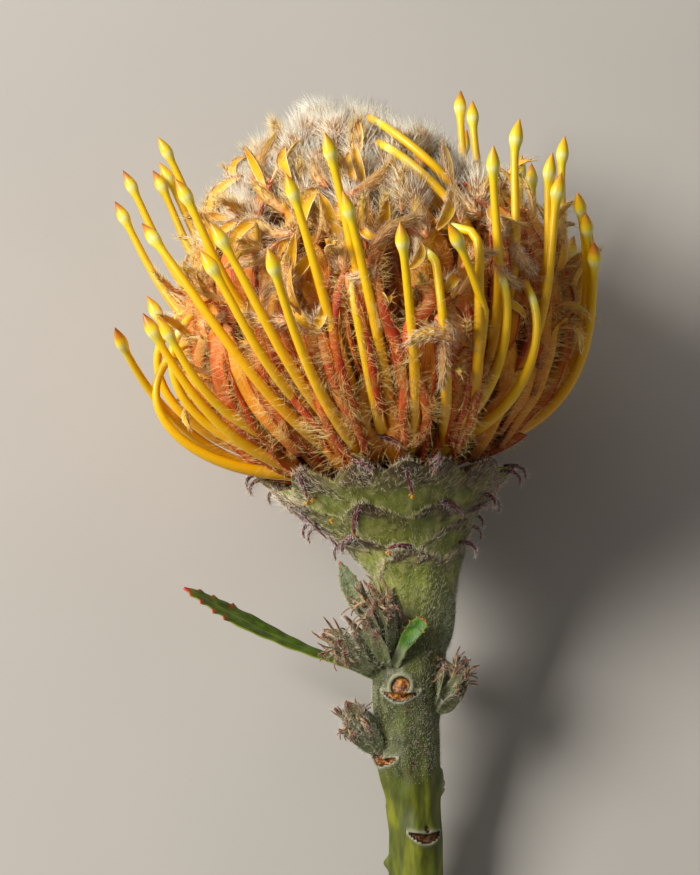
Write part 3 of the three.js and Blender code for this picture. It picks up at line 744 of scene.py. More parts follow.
@dataclass(frozen=True)
class RibbonTissue(Finish):
    """Tissue of the opened florets: v runs from foot to end, `warm` from gold (0) and orange to red (2)."""

    name: str = "ribbon_tissue"
    roughness: float = 0.48

    def dress(self, paint: Paint) -> None:
        """Golden to orange-red tissue with fine veins along it, red margins and a duller woolly back."""
        v, warmth = paint.along(), paint.mark("warm")
        veins, patches = paint.streaks(18, 1.0, 2.2, 4), paint.cloud(150, 3)
        paint.colour = paint.ramp(
            v, (0, "#8c4804"), (0.15, "#d88408"), (0.5, "#f4a806"), (0.8, "#fbba0c"), (1, "#f4bc20")
        )
        warm = paint.ramp(
            v, (0, "#98340c"), (0.15, "#d24e18"), (0.5, "#ea6828"), (0.8, "#f08040"), (1, "#eaa064")
        )
        paint.tint(paint.band(warmth, 0.0, 1.0), warm)
        aslant = paint.ramp(paint.across(), (0.2, "#4d4d4d"), (0.75, "#ffffff"))
        paint.tint(paint.band(warmth, 1.0, 1.8), "#b02218", aslant)
        paint.tint(paint.band(veins, 0.5, 0.66), "#c43c14", 0.5)
        paint.tint(paint.band(patches, 0.52, 0.7), "#f8b828", 0.35)
        paint.tint(paint.mark("back"), "#d98c3c", 0.25)
        ragged = paint.math("ADD", paint.aside(), paint.math("MULTIPLY", veins, 0.08))
        paint.tint(paint.band(ragged, 0.45, 0.53), "#b8261a", 0.9)
        paint.bump(veins, 0.5, 0.0005)
        paint.glow(0.08, (0.002, 0.001, 0.0004))


@dataclass(frozen=True)
class Skin(Finish):
    """A skin with one colour after another along it, and a second set of them where the piece has a mark."""

    stops: tuple = ()
    grain: tuple = ()  # scale and detail of its patches, or the stretch across and along, too, of its streaks
    spots: tuple = ()  # from which and up to which grain they grow, colour and strength
    relief: tuple = ()  # strength and depth in metres
    mark: str = ""
    marked: tuple = ()
    rim: tuple = ()  # from how far aside of the middle up to how far, colour and strength

    def dress(self, paint: Paint) -> None:
        """Lays the colours, the marked ones, the spots and the rim over one another."""
        v = paint.along()
        grain = paint.streaks(*self.grain) if len(self.grain) > 2 else paint.cloud(*self.grain)
        paint.colour = paint.ramp(v, *self.stops)
        if self.mark:
            paint.tint(paint.mark(self.mark), paint.ramp(v, *self.marked))
        paint.tint(paint.band(grain, *self.spots[:2]), *self.spots[2:])
        if self.rim:
            paint.tint(paint.band(paint.aside(), *self.rim[:2]), *self.rim[2:])
        paint.bump(grain, *self.relief)


# the florets' boat-shaped ends: yellow within, and khaki to pink and woolly outside
LIMB_TISSUE = Skin(
    "limb_tissue", 0.45, stops=((0, "#e29c06"), (0.5, "#f6c008"), (0.85, "#eeb008"), (1, "#b06c08")),
    mark="back", marked=((0, "#e08a50"), (0.3, "#e0a860"), (0.7, "#d2ac44"), (1, "#ab9230")),
    grain=(300, 3), spots=(0.52, 0.72, "#b4661a", 0.45), rim=(0.42, 0.49, "#f8eec8", 0.8),
    relief=(0.25, 0.0004),
)
# the closed florets under their wool: pinkish at the stalk, cream at the knob
CLUB_SKIN = Skin(
    "club_skin", 0.6,
    stops=((0, "#c06a2c"), (0.3, "#d88a5c"), (0.5, "#dfae88"), (0.8, "#dcc79c"), (1, "#b8a468")),
    grain=(260, 3), spots=(0.5, 0.7, "#d0826a", 0.6), relief=(0.25, 0.0005),
)
# the bracts' hooked tips: dark purple-red, with pink streaks along them that are painted highlights, and tan
# at the end
HOOK_SKIN = Skin(
    "hook_skin", 0.38,
    stops=((0, "#34180f"), (0.2, "#3e0810"), (0.6, "#64101a"), (0.85, "#80301f"), (1, "#d39a40")),
    grain=(9, 2, 2.0, 2), spots=(0.56, 0.66, "#d0949c", 0.6), relief=(0.3, 0.0003),
)
# the side shoots: grey-green leaflets, and pinkish tan curly tips with red ends
SHOOT_SKIN = Skin(
    "shoot_skin", 0.6,
    stops=((0, "#78824a"), (0.5, "#6f7548"), (0.8, "#6a6040"), (0.93, "#6a3226"), (1, "#8c3428")),
    mark="tip", marked=((0, "#86824e"), (0.3, "#b8a674"), (0.6, "#b08e64"), (0.8, "#782a26"), (1, "#a8682c")),
    grain=(520, 4), spots=(0.45, 0.7, "#9a9878", 0.4), relief=(0.4, 0.0006),
)


@dataclass(frozen=True)
class CoreTissue(Finish):
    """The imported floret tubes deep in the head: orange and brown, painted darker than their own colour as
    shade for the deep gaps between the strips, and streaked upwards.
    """

    name: str = "floret_core"
    roughness: float = 0.7

    def dress(self, paint: Paint) -> None:
        """Streaks along the head, lighter towards the crown."""
        streaks = paint.streaks(60, 6, 3.0, 5)
        # the dark browns are painted shade for the gaps deep between the strips
        paint.colour = paint.tones(streaks, 0.2, "#351305", "#8c4208", "#cc7c12")
        high = paint.tones(streaks, 0.2, "#6e380a", "#bc7a20", "#e0ac48")
        paint.tint(paint.band(paint.along(), 0.55, 0.85), high)
        paint.bump(streaks, 0.8, 0.0012)


@dataclass(frozen=True)
class Wool(Finish):
    """Fine hairs, whose v runs from root to tip."""

    name: str = "wool"
    roughness: float = 0.5
    root: str = "#c9a277"
    tip: str = "#f3ead6"

    def dress(self, paint: Paint) -> None:
        """Root colour to tip colour along each hair."""
        paint.colour = paint.ramp(paint.along(), (0, self.root), (0.45, self.tip), (1, self.tip))


LIMB_WOOL = Wool("limb_wool", root="#e8a030", tip="#ffe29a")
CAP_WOOL = Wool("cap_wool", root="#ec9c64", tip="#ffeac0")
SILK = Wool("silk", root="#f29a1c", tip="#ffe494")
UNDERWOOL = Wool("underwool", root="#dc7a44", tip="#fcd8a8")
FLEECE = Wool("fleece", root="#f4c88a", tip="#fff6e2")
STEM_NAP = Wool("stem_nap", root="#8b8f5e", tip="#d8d5ba")
BRACT_FRINGE = Wool("bract_fringe", root="#6a4630", tip="#f0e0c0")
HOOK_HAIRS = Wool("hook_hairs", root="#d8cdc2", tip="#fbf8f0")
SHOOT_WOOL = Wool("stem_wool", root="#b3b28c", tip="#e6e3d0")


@dataclass(frozen=True)
class StemBark(Finish):
    """The stem: olive green low down, woolly grey-green above, with corky scars, bracts and a pale cut."""

    name: str = "stem_bark"
    roughness: float = 0.55

    def dress(self, paint: Paint) -> None:
        """Colours by the marks high, top, felt, worn, band, lip, cork and cut, over streaks and patches."""
        streaks, specks = paint.cloud(520, 5, (1, 0.18, 0.5)), paint.cloud(900, 2, (1, 0.45, 1))
        # The stem's greens here and in the next two lines are its own olive and grey-green painted darker, as
        # painted shade for the dim light that falls on the stem below the head.
        paint.colour = paint.tones(streaks, 0.2, "#3a4014", "#50571f", "#70753a")
        paint.tint(paint.mark("felt"), paint.tones(specks, 0.14, "#2e331a", "#4c5030", "#7e7e5c"), 0.75)
        low = paint.tones(streaks, 0.18, "#383e03", "#565d06", "#7c800c")
        paint.colour = paint.blend(paint.mark("high"), low, paint.colour)
        paint.tint(paint.mark("top"), paint.tones(streaks, 0.2, "#6c7620", "#8f963a", "#bdbb72"))
        paint.tint(paint.band(paint.cloud(130, 4), 0.5, 0.66), "#66741a", 0.45)
        paint.tint(paint.band(specks, 0.56, 0.64), "#4a2a18", paint.mark("worn"))
        dark = paint.ramp(streaks, (0.35, "#2a1612"), (0.5, "#472a22"), (0.66, "#6c5030"))
        paint.tint(paint.mark("band"), dark, 0.92)
        paint.tint(paint.mark("lip"), "#a3a184")
        cork, cut = paint.mark("cork"), paint.mark("cut")
        paint.tint(paint.band(cork, 0.02, 0.3), "#2c1a10")
        grain = paint.tones(paint.cloud(1400, 4), 0.14, "#2e1506", "#8a4e0e", "#cf8a22")
        paint.tint(paint.band(cork, 0.5, 0.95), grain)
        rings = paint.ramp(
            cut, (0, "#ffffff"), (0.02, "#8c9a4a"), (0.2, "#c9cf9a"), (0.55, "#dfe0b8"), (0.8, "#cbbf8e"),
            (1, "#b7a674"),
        )
        paint.tint(paint.band(cut, 0.0, 0.05), rings)
        paint.bump(streaks, 0.4, 0.0006)


GREY_TONES = ("#4c5836", "#66714a", "#858c68")


@dataclass(frozen=True)
class LeafSkin(Finish):
    """A leathery leaf: three greens, pale midrib and veins, a woolly stalk, red teeth by the mark `red`."""

    name: str = "leaf_skin"
    roughness: float = 0.5
    tones: tuple[str, str, str] = ("#2c4404", "#436206", "#648010")
    stalk: float = 0.02

    def dress(self, paint: Paint) -> None:
        """Green by patches, the midrib and margin by u, veins by slanting streaks, the stalk by v."""
        v, off, patches = paint.along(), paint.aside(), paint.cloud(420, 5)
        paint.colour = paint.tones(patches, 0.2, *self.tones)
        slant = paint.math("SINE", paint.math("MULTIPLY", paint.math("SUBTRACT", v, off), 95.0), 0.0)
        paint.tint(paint.band(slant, 0.6, 1.0), "#8f9a3a", 0.2)
        paint.tint(paint.math("SUBTRACT", 1.0, paint.band(off, 0.0, 0.06)), "#98a040", 0.35)
        paint.tint(paint.band(off, 0.44, 0.5), "#9aa224", 0.7)
        paint.tint(paint.ramp(v, (self.stalk * 0.7, "#ffffff"), (self.stalk, "#000000")), "#8d9668")
        paint.tint(paint.mark("red"), "#c2301c")
        paint.bump(patches, 0.3, 0.0004)


@dataclass(frozen=True)
class Mottled(Finish):
    """Two colours in patches of a noise's scale: the orange pollen and the pale matte table."""

    scale: float = 14
    spread: float = 0.2
    low: str = "#b4b0a9"
    high: str = "#b9b4ad"

    def dress(self, paint: Paint) -> None:
        """From one colour to the other by the noise."""
        stops = (0.5 - self.spread, self.low), (0.5 + self.spread, self.high)
        paint.colour = paint.ramp(paint.cloud(self.scale, 2), *stops)


POLLEN = Mottled("pollen", 0.6, 2500, 0.15, "#e08a10", "#f6b81e")
PALE_TABLE = Mottled("pale_table", 0.9)


# ---- the head's smooth form
@dataclass
class HeadForm:
    """The floret mass's outline about the head's axis, as radius, height and slope by distance along it."""

    arc: Array = field(init=False)
    radius: Array = field(init=False)
    height: Array = field(init=False)
    slope: Array = field(init=False)

    def __post_init__(self) -> None:
        """Walks the corners of HEAD_PROFILE in steps of half a millimetre, rounded by a moving average."""
        corners = np.array(HEAD_PROFILE, dtype=float)[:, ::-1]
        steps = distances(corners)
        self.arc = np.arange(0, steps[-1], 0.5)
        radius, self.height = smoothed(reread(corners, steps, self.arc), np.hanning(15)).T
        self.radius = np.maximum(radius, 0)
        self.slope = np.unwrap(np.arctan2(np.gradient(self.height), np.gradient(radius)))

    def at(self, arc: Array) -> tuple[Array, Array, Array]:
        """Radius, height and slope at distances along the outline."""
        return tuple(np.interp(arc, self.arc, value) for value in (self.radius, self.height, self.slope))

    def radius_at(self, height: Array) -> Array:
        """Distance from the axis at a height."""
        return np.interp(height, self.height, self.radius, right=0.0)

    def walk(
        self, start: Array, length: Array, rows: int, away: Array, inset: Array | float
    ) -> tuple[Array, Array]:
        """Follows the outline upwards and bends away from it: directions are added up row by row.

        Args:
            start: distance along the outline where each path starts.
            length: each path's length.
            rows: points on each path.
            away: how far each path has turned away from the outline at each row, in radians.
            inset: how far inside the outline each path starts.

        Returns:
            Radius and height at each path and row.
        """
        share = np.linspace(0, 1, rows)[None]
        way = self.at(start[:, None] + length[:, None] * share)[2] - away
        step = length[:, None] / (rows - 1)
        middle = (way[:, 1:] + way[:, :-1]) / 2
        none = np.zeros((len(start), 1))
        grow = np.concatenate([none, np.cumsum(np.cos(middle) * step, axis=1)], axis=1)
        climb = np.concatenate([none, np.cumsum(np.sin(middle) * step, axis=1)], axis=1)
        radius, height, _ = self.at(start)
        return (radius - inset)[:, None] + grow, height[:, None] + climb

    def seen(self, x: Array, z: Array, clear: Array) -> Array:
        """Points on the near side that are seen at x, z and stand `clear` millimetres off the outline."""
        points = sight(x, z, lambda height, _: self.radius_at(height) + clear, carry=CROWN_LEAN)
        return np.stack(points[:3], axis=-1)


# ---- the styles
@dataclass
class StyleSet:
    """Every style: where its tip and root are, and how it bows; one row each."""

    form: HeadForm
    tip: Array = field(init=False)  # radius, azimuth, height
    root: Array = field(init=False)
    bow: Array = field(init=False)

    def __post_init__(self) -> None:
        """Reads the measured styles and adds the rings that are hidden from the camera."""
        tips, roots, bows = [], [], []
        for rows, side in ((NEAR_STYLES, 1.0), (FAR_STYLES, -1.0)):
            x, z, distance, root_x, root_z, bow = np.array(rows, dtype=float).T
            tips.append(self._seen(x, z, distance, side))
            roots.append(self._seen(root_x, root_z, None, side))
            bows.append(bow)
        for row, (first, last, count, height, distance, turn) in enumerate(HIDDEN_RINGS):
            i = np.arange(count)
            azimuth = first + (last - first) * i / (count - 1) + 3 * draw(i, row + 1)
            low = turn + 3 + draw(i, row + 17)
            far, up = distance + draw(i, row + 9), height + 3 * draw(i, row + 5)
            tips.append(np.stack([far, azimuth, up], axis=1))
            roots.append(np.stack([table(HEAD_PROFILE, low), azimuth + 6 * draw(i, row + 13), low], axis=1))
            bows.append(3 * draw(i, row + 23))
        self.tip, self.root, self.bow = np.concatenate(tips), np.concatenate(roots), np.concatenate(bows)

    @staticmethod
    def _seen(x: Array, z: Array, distance: Array | None, side: float) -> Array:
        """Where points of the styles are, from where they are seen.

        Args:
            x: how far right of the head's foot each point is seen.
            z: how far above it.
            distance: how far from the axis it is, or None for on the head.
            side: 1 for the near side, -1 for the far one.

        Returns:
            Radius, azimuth and height.
        """

        def reach(height: Array, across: Array) -> Array:
            """The radius met: never less than the distance across."""
            wanted = table(HEAD_PROFILE, height) if distance is None else distance
            return np.maximum(wanted, np.abs(across) + 0.01)

        _, y, _, across, height = sight(x, z, reach, side)
        return np.stack([reach(height, across), np.degrees(np.arctan2(across, -y)), height], axis=1)

    def course(self, t: Array) -> tuple[Array, Array, Array]:
        """The free styles' course, by Beziers from the cone to the tips.

        A style whose bow is over 4 degrees is kinked: it grows evenly to a corner and falls evenly again.

        Args:
            t: the shares.

        Returns:
            Radius, azimuth and height, by style and share.
        """
        radius, azimuth, height = self.root.T[..., None]
        tip_radius, tip_azimuth, tip_height = self.tip.T[..., None]
        turn = height - 3.5
        start = 3 + 0.35 * turn
        r = bezier(table(STYLE_CONE, start) - 1.6, radius + 12, tip_radius - 6, tip_radius, t)
        h = bezier(start, turn, tip_height - 0.36 * (tip_height - turn), tip_height, t)
        share = np.maximum(0, (t - 0.22) / 0.78)
        kink = np.minimum(share / 0.62, (1 - share) / 0.38) * 1.15
        hump = np.where(self.bow[:, None] > 4, kink, np.sin(math.pi * share))
        return r, turn_to(azimuth, tip_azimuth, share**1.2) + self.bow[:, None] * hump, h

    def free_paths(self, t: Array) -> Array:
        """Centres of the free styles at shares t of their course."""
        return head_point(*self.course(t))

    def radius_at(self, height: Array) -> Array:
        """Each free style's distance from the axis at heights, one row a style."""
        r, _, h = self.course(np.linspace(0, 1, 60)[None])
        return np.stack([np.interp(wanted, own, out) for wanted, own, out in zip(height, h, r)])

    @staticmethod
    def held_paths(t: Array) -> Array:
        """The styles that are still held: bowed loops back into the florets.

        Args:
            t: shares of their course.

        Returns:
            The centres, by style and share.
        """
        azimuth, height, radius, root_azimuth, turn, bow = np.array(HELD_STYLES, dtype=float).T[..., None]
        start = 3 + 0.35 * turn
        r = bezier(table(STYLE_CONE, start) - 1.6, 42 - 0.16 * turn, bow, radius, t)
        h = bezier(start, turn, height - 10, height, t)
        return head_point(r, root_azimuth + (azimuth - root_azimuth) * t, h)

    def kinked_paths(self, rows: int) -> Array:
        """The kinked styles: their seen corners, joined and rounded over 2.5 mm.

        Args:
            rows: points on each path.

        Returns:
            The centres, by style and row.
        """
        paths = []
        for corners in KINKED_STYLES:
            line = self.form.seen(*np.array(corners, dtype=float).T)
            gone = distances(line)
            width = max(3, int(2.5 / (gone[-1] / (rows - 1))) | 1)
            paths.append(smoothed(reread(line, gone, np.linspace(0, gone[-1], rows)), np.ones(width)))
        return np.stack(paths)

    def lanes(self) -> list[Array]:
        """The stretches of all the styles that pass close over the florets.

        Returns:
            The centres of each.
        """
        t = np.linspace(0.1, 0.97, 64)[None]
        lanes = []
        for path in (*self.free_paths(t), *self.held_paths(t), *self.kinked_paths(64)):
            height = path @ HEAD_AXIS
            past = np.linalg.norm(path - height[:, None] * HEAD_AXIS, axis=1) - self.form.radius_at(height)
            close = path[(past > -3.0) & (past < 9.0)]
            if len(close):
                lanes.append(close)
        return lanes


def make_way(points: Array, lanes: list[Array], gap: float = 1.9, whole: bool = False) -> Array:
    """Moves points of the florets in behind the styles that pass in front of them.

    A point less than 1.3 mm beside a style's centre, seen from outside, moves towards the head's axis until it
    is `gap` behind that centre, and the move fades out up to 2.4 mm beside it and 9 mm in front of it.

    Args:
        points: upright points.
        lanes: the styles' centres near the florets.
        gap: how far behind a centre the points must be.
        whole: whether a shell's points all move as the one that moves furthest does, but no more than 5 mm.

    Returns:
        The moved points, in the same shape.
    """
    flat = points.reshape(-1, 3)
    push = np.zeros(len(flat))
    for lane in lanes:
        inside = (flat > lane.min(axis=0) - 6) & (flat < lane.max(axis=0) + 6)
        near = np.nonzero(inside.all(axis=1))[0]
        offset = flat[near, None] - lane[None]
        out = np.einsum("pkc,kc->pk", offset, outward(azimuth_of(lane)))
        beside = np.sqrt(np.maximum((offset**2).sum(axis=-1) - out**2, 0))
        wanted = np.maximum(out + gap, 0) * (1 - rise(out, 5, 9)) * (1 - rise(beside, 1.3, 2.4))
        push[near] = np.maximum(push[near], wanted.max(axis=1, initial=0))
    azimuth = azimuth_of(flat)
    if whole:
        shells = push.reshape(len(points), -1)
        push = np.repeat(np.minimum(shells.max(axis=1), 5.0), shells.shape[1])
        middles = flat.reshape(len(points), -1, 3).mean(axis=1)
        azimuth = np.repeat(azimuth_of(middles), shells.shape[1])
    return (flat - outward(azimuth) * push[:, None]).reshape(points.shape)


class TipForm(Enum):
    """How a style ends."""

    PRESENTER = "presenter"
    HELD = "held"


@dataclass
class Styles:
    """The yellow styles with their spindle-shaped pollen presenters, and the cone that they grow from."""

    layout: StyleSet
    root_radius: float = 1.62
    neck_radius: float = 0.8
    held_radius: float = 0.86
    rows_at_tip: int = 17
    rows_below: int = 30
    sides: int = 12
    # distance from the tip and radius there, for the spindle and its neck
    spindle: tuple = (
        (0, 0.1), (0.25, 0.2), (0.8, 0.45), (1.6, 0.82), (2.5, 1.14), (3.3, 1.34), (4.0, 1.4), (4.6, 1.34),
        (5.2, 1.14), (5.8, 0.96), (6.6, 0.84), (8, 0.8),
    )

    def build(self) -> None:
        """Casts the free styles, the held and kinked ones and the cone as one piece."""
        mould = Mould("ripe")
        t = np.linspace(0, 1, 160)[None]
        self._sweep(mould, self.layout.free_paths(t), TipForm.PRESENTER)
        self._sweep(mould, self.layout.held_paths(t), TipForm.HELD)
        self._sweep(mould, self.layout.kinked_paths(160), TipForm.HELD)
        self._cone(mould)
        mould.cast("styles", StyleWax(), "style", "styles")

    def _sweep(self, mould: Mould, paths: Array, form: TipForm) -> None:
        """Sweeps the styles' outline along their paths, which are first re-read by distance from the tip.

        Args:
            mould: what they are added to.
            paths: their centres, from root to tip.
            form: how they end.
        """
        paths = paths[:, ::-1]
        gone = distances(paths)
        total, end = gone[:, -1:], self.spindle[-1][0]
        near = np.tile(np.linspace(0, 1, self.rows_at_tip) ** 1.25 * end, (len(paths), 1))
        share = np.linspace(0, 1, self.rows_below + 1)[1:]
        places = np.concatenate([near, end + share * (total - end)], axis=1)
        centres = np.stack([reread(*row) for row in zip(paths, gone, places)])
        below = (np.maximum(places - end, 0) / (total - end)) ** 1.15
        radii = self.neck_radius + (self.root_radius - self.neck_radius) * below
        ripe = np.zeros(len(paths))
        if form is TipForm.PRESENTER:
            i = np.arange(len(paths))
            swell = 1 + 0.06 * draw(i, 71)[:, None]
            radii = np.where(places < end, table(self.spindle, places) * swell, radii)
            ripe = np.clip(0.35 + 0.5 * draw(i, 77), 0, 1)
            ripe[list(RIPEST)] = 1.0
        else:
            radii = np.maximum(radii, self.held_radius)
        centres = lift_above(centres, radii)
        azimuth = np.degrees(np.arctan2(centres[..., 0], -centres[..., 1]))
        grid = tubes(centres, radii, self.sides, around(azimuth))
        mould.shells(grid, along=places / WAX_SPAN, ripe=ripe[:, None, None])

    def _cone(self, mould: Mould) -> None:
        """The cone inside the head: its outline turned round the head's axis.

        Args:
            mould: what it is added to.
        """
        height = np.linspace(STYLE_CONE[0][0], STYLE_CONE[-1][0], 14)[:, None]
        azimuth = np.linspace(0, 360, 24, endpoint=False)[None]
        grid = head_point(table(STYLE_CONE, height), azimuth, height)[None]
        mould.shells(grid, along=np.full((1, 14), 0.95))


# ---- the opened florets
# Ribbons and rolled margins that can be told apart on the near side: half-width, fold and warmth, and then x,
# z and distance from the head's outline, from foot to end. Folds over 0 open outwards, others show backs.
SEEN_RIBBONS = (
    (0.95, -0.95, 1.9, (-7.8, 14.3, 1.4), (-11.1, 23.5, 1.8), (-12.6, 31.5, 2), (-11.8, 38.6, 2.4),
     (-10.1, 44, 2.2)),
    (0.95, -0.95, 1.9, (-2.5, 13.9, 1.4), (-4.4, 23.1, 1.8), (-6.1, 31.1, 2), (-8, 37.8, 2.4),
     (-9.9, 43.8, 2.2)),
    (1.3, -0.95, 1.6, (2.1, 20.6, 0.8), (1.3, 27.3, 1.4), (-1.5, 34, 2), (-3.2, 39.9, 2.4), (-4.4, 45.4, 2.6),
     (-3, 48.8, 2)),
    (2.2, 0.9, 0.7, (-4.6, 25, 0.2), (-5.3, 31.5, 0.4), (-5.6, 39, 0.8), (-6.6, 46.5, 0.8)),
    (1.5, -0.7, 1.3, (5, 24.5, 1.5), (3.6, 29.4, 2.6), (4.4, 33.4, 3.4), (7, 35.8, 3.8), (7.8, 38.6, 3.6),
     (6, 40.9, 3), (3.6, 40.4, 2)),
    (1.3, -0.95, 2, (12.4, 6.9, 0.8), (15.3, 14.7, 1.2), (17.2, 23.9, 1.4), (16.8, 31.5, 1.6),
     (15.3, 36.4, 1.8), (12.4, 38.2, 2), (9.8, 36.6, 2)),
    (2.4, 0.8, 0.6, (12.2, 8.4, -0.4), (14.3, 18.9, 0), (13.8, 29.4, 0), (11.8, 36, 0)),
    (0.95, -0.95, 1.6, (-21.6, 8.8, 0.8), (-25.4, 16.2, 1.2), (-28.4, 24.8, 1.6), (-30.5, 31.9, 1.2)),
    (0.95, -0.95, 1.5, (-14.5, 9.5, 0.8), (-21.2, 17.2, 1.2), (-25, 25.6, 1.6), (-26.9, 32.3, 1.2)),
    (0.95, -0.95, 1.3, (-11, 8.5, 0.8), (-17.6, 18.5, 1.2), (-21.2, 25.6, 1.6), (-23.5, 31.9, 1.2)),
    (0.95, -0.95, 1.5, (-7.6, 3.2, 1.2), (-11.6, 7.6, 1.8), (-14.5, 12.8, 2), (-16, 19.5, 1.8),
     (-17.6, 26, 1.2)),
    (0.95, -0.95, 1.5, (-5.5, 5.2, 1.2), (-7.8, 11.3, 1.8), (-11.6, 17.6, 1.8), (-14.5, 27.1, 1.4),
     (-15.4, 33, 1.2)),
    (2.6, 0.9, 0.6, (-8.6, 9.5, -0.2), (-11.6, 17.9, 0.2), (-14.9, 27.3, 0.5), (-17.4, 33.4, 0.9)),
    (3, -0.9, 1, (-24.8, 2.5, 0.6), (-32.1, 9.9, 1.2), (-36.5, 18.5, 1.4), (-37.6, 26.9, 1.2),
     (-35, 33, 0.4)),
    (2.4, -0.9, 0.8, (-31, 7.3, 0.6), (-38.3, 13.4, 0.8), (-41.6, 22.1, 0.8), (-40.4, 29.8, 0.4)),
    (2.7, -0.8, 0.35, (-20, 5, 0.4), (-28.4, 14.3, 0.8), (-33, 22.7, 1), (-35.9, 31.5, 0.6)),
    (0.95, -0.95, 1.7, (13.2, 5.6, 1.2), (16.2, 11.4, 1.8), (18, 18.5, 1.8), (18.8, 25, 1.2)),
    (0.95, -0.95, 1.2, (4.6, 6.8, 1.4), (7.1, 11.8, 1.8), (6.7, 16.8, 1.8), (4.8, 23, 1.2)),
    (0.95, -0.95, 1.3, (3.2, 6.8, 1.4), (2.2, 12.4, 1.8), (2.4, 18.5, 1.6), (1.8, 25, 1)),
)


class LimbSide(float, Enum):
    """Which side of a limb is turned outwards."""

    INNER = 1.0
    OUTER = -1.0


IN, OUT = LimbSide
# Limbs that can be told apart on the near side: x and z of the foot and of the end, half-width, side, bulge
# to the limb's left, and distance from the head's outline.
SEEN_LIMBS = (
    (-29.5, 62.3, -24.4, 73.3, 1.7, OUT, 0.8, 2.4), (-32.8, 63.6, -30.4, 68.2, 1.5, IN, 1.2, 2.4),
    (-38.8, 55, -31.5, 64, 1.5, IN, 1.4, 2.4), (-37.4, 52.6, -30.4, 56.9, 1.2, IN, -1.4, 2.4),
    (-33.6, 47.2, -27.3, 54.8, 1.6, IN, 1.6, 2.4), (-20.2, 51.9, -29.8, 55.6, 1.4, OUT, 1.4, 4),
    (-24, 50.2, -32.6, 45.2, 1.3, OUT, 1.2, 3.6), (-19.2, 52.6, -15.6, 61.4, 2.4, IN, 1.2, 1.6),
    (-9, 60.2, 0, 67.8, 1.7, OUT, -1.2, 3.6), (-7, 54.6, -2.3, 50.8, 1.2, IN, -1.2, 2.4),
    (-4.6, 48.8, 6.3, 55.6, 1.7, OUT, 1.4, 3.6), (-1, 50.8, -0.2, 58.4, 2.1, OUT, 0.4, 1.8),
    (7.4, 51.2, 5, 60.2, 2.1, OUT, 0.8, 2), (9.2, 52.6, 12, 61, 1.6, IN, -0.8, 2),
    (3.2, 44.5, 5.3, 50.4, 1.3, IN, -1.3, 1.8), (14.6, 44.6, 21.8, 47.9, 1.5, OUT, 1.2, 2.6),
    (11.1, 39.5, 13.7, 42.8, 1.6, IN, 0.6, 2), (25.6, 50.4, 29.4, 44.1, 1.2, OUT, -0.8, 2.4),
    (21.4, 46.4, 26.6, 41, 1.2, OUT, -0.8, 2.2), (-13.8, 61.8, -16.9, 67.6, 1.5, OUT, 0.8, 2.4),
    (-7.6, 62.8, -9.2, 68.8, 1.3, IN, 0.8, 2.4), (-21.4, 63.4, -22.6, 70.2, 1.5, IN, 0.6, 2.4),
    (-21, 33.8, -31.6, 35, 1.3, OUT, 0.9, 4.2), (-16.6, 31.8, -19.9, 36.4, 1.4, IN, 0.6, 1.6),
    (-16.6, 31.8, -14.2, 36.8, 1.4, IN, -0.6, 1.6), (-27.3, 34.8, -24.2, 42, 1.2, OUT, 1.2, 2.4),
    (-39, 30.8, -36.2, 34.4, 1.1, OUT, 1.2, 2.4), (6.1, 65, 5.8, 73.6, 1.5, OUT, 0.6, 2.4),
    (12.4, 62.4, 10.4, 71, 1.3, IN, 0.6, 2.4), (14.6, 54.2, 12.8, 62.4, 1.4, OUT, 0.8, 2.4),
    (18.6, 55.8, 14.2, 60, 1.3, OUT, 0.8, 2.4), (20.2, 57.2, 23.3, 52.8, 1.3, IN, -1.2, 2.4),
    (27.8, 50, 34, 54.6, 1.3, OUT, -1.2, 2.4), (24, 50, 20.6, 56.6, 1.4, OUT, 1.2, 2.4),
    (13.8, 28.8, 3, 28.4, 1.7, OUT, -2.2, 5.2), (9, 34.6, 12.8, 29.4, 2.4, OUT, 0.6, 4.2),
    (10.6, 30.4, 10.2, 19.6, 1.2, OUT, 0.4, 4.4), (-10.2, 43.6, -9.6, 53, 2.3, OUT, 0.6, 2.6),
    (-24.8, 46, -20.8, 39, 1.6, OUT, 1, 2.6), (-3.4, 45.6, -8.4, 42.6, 1.2, OUT, 1, 2.6),
)


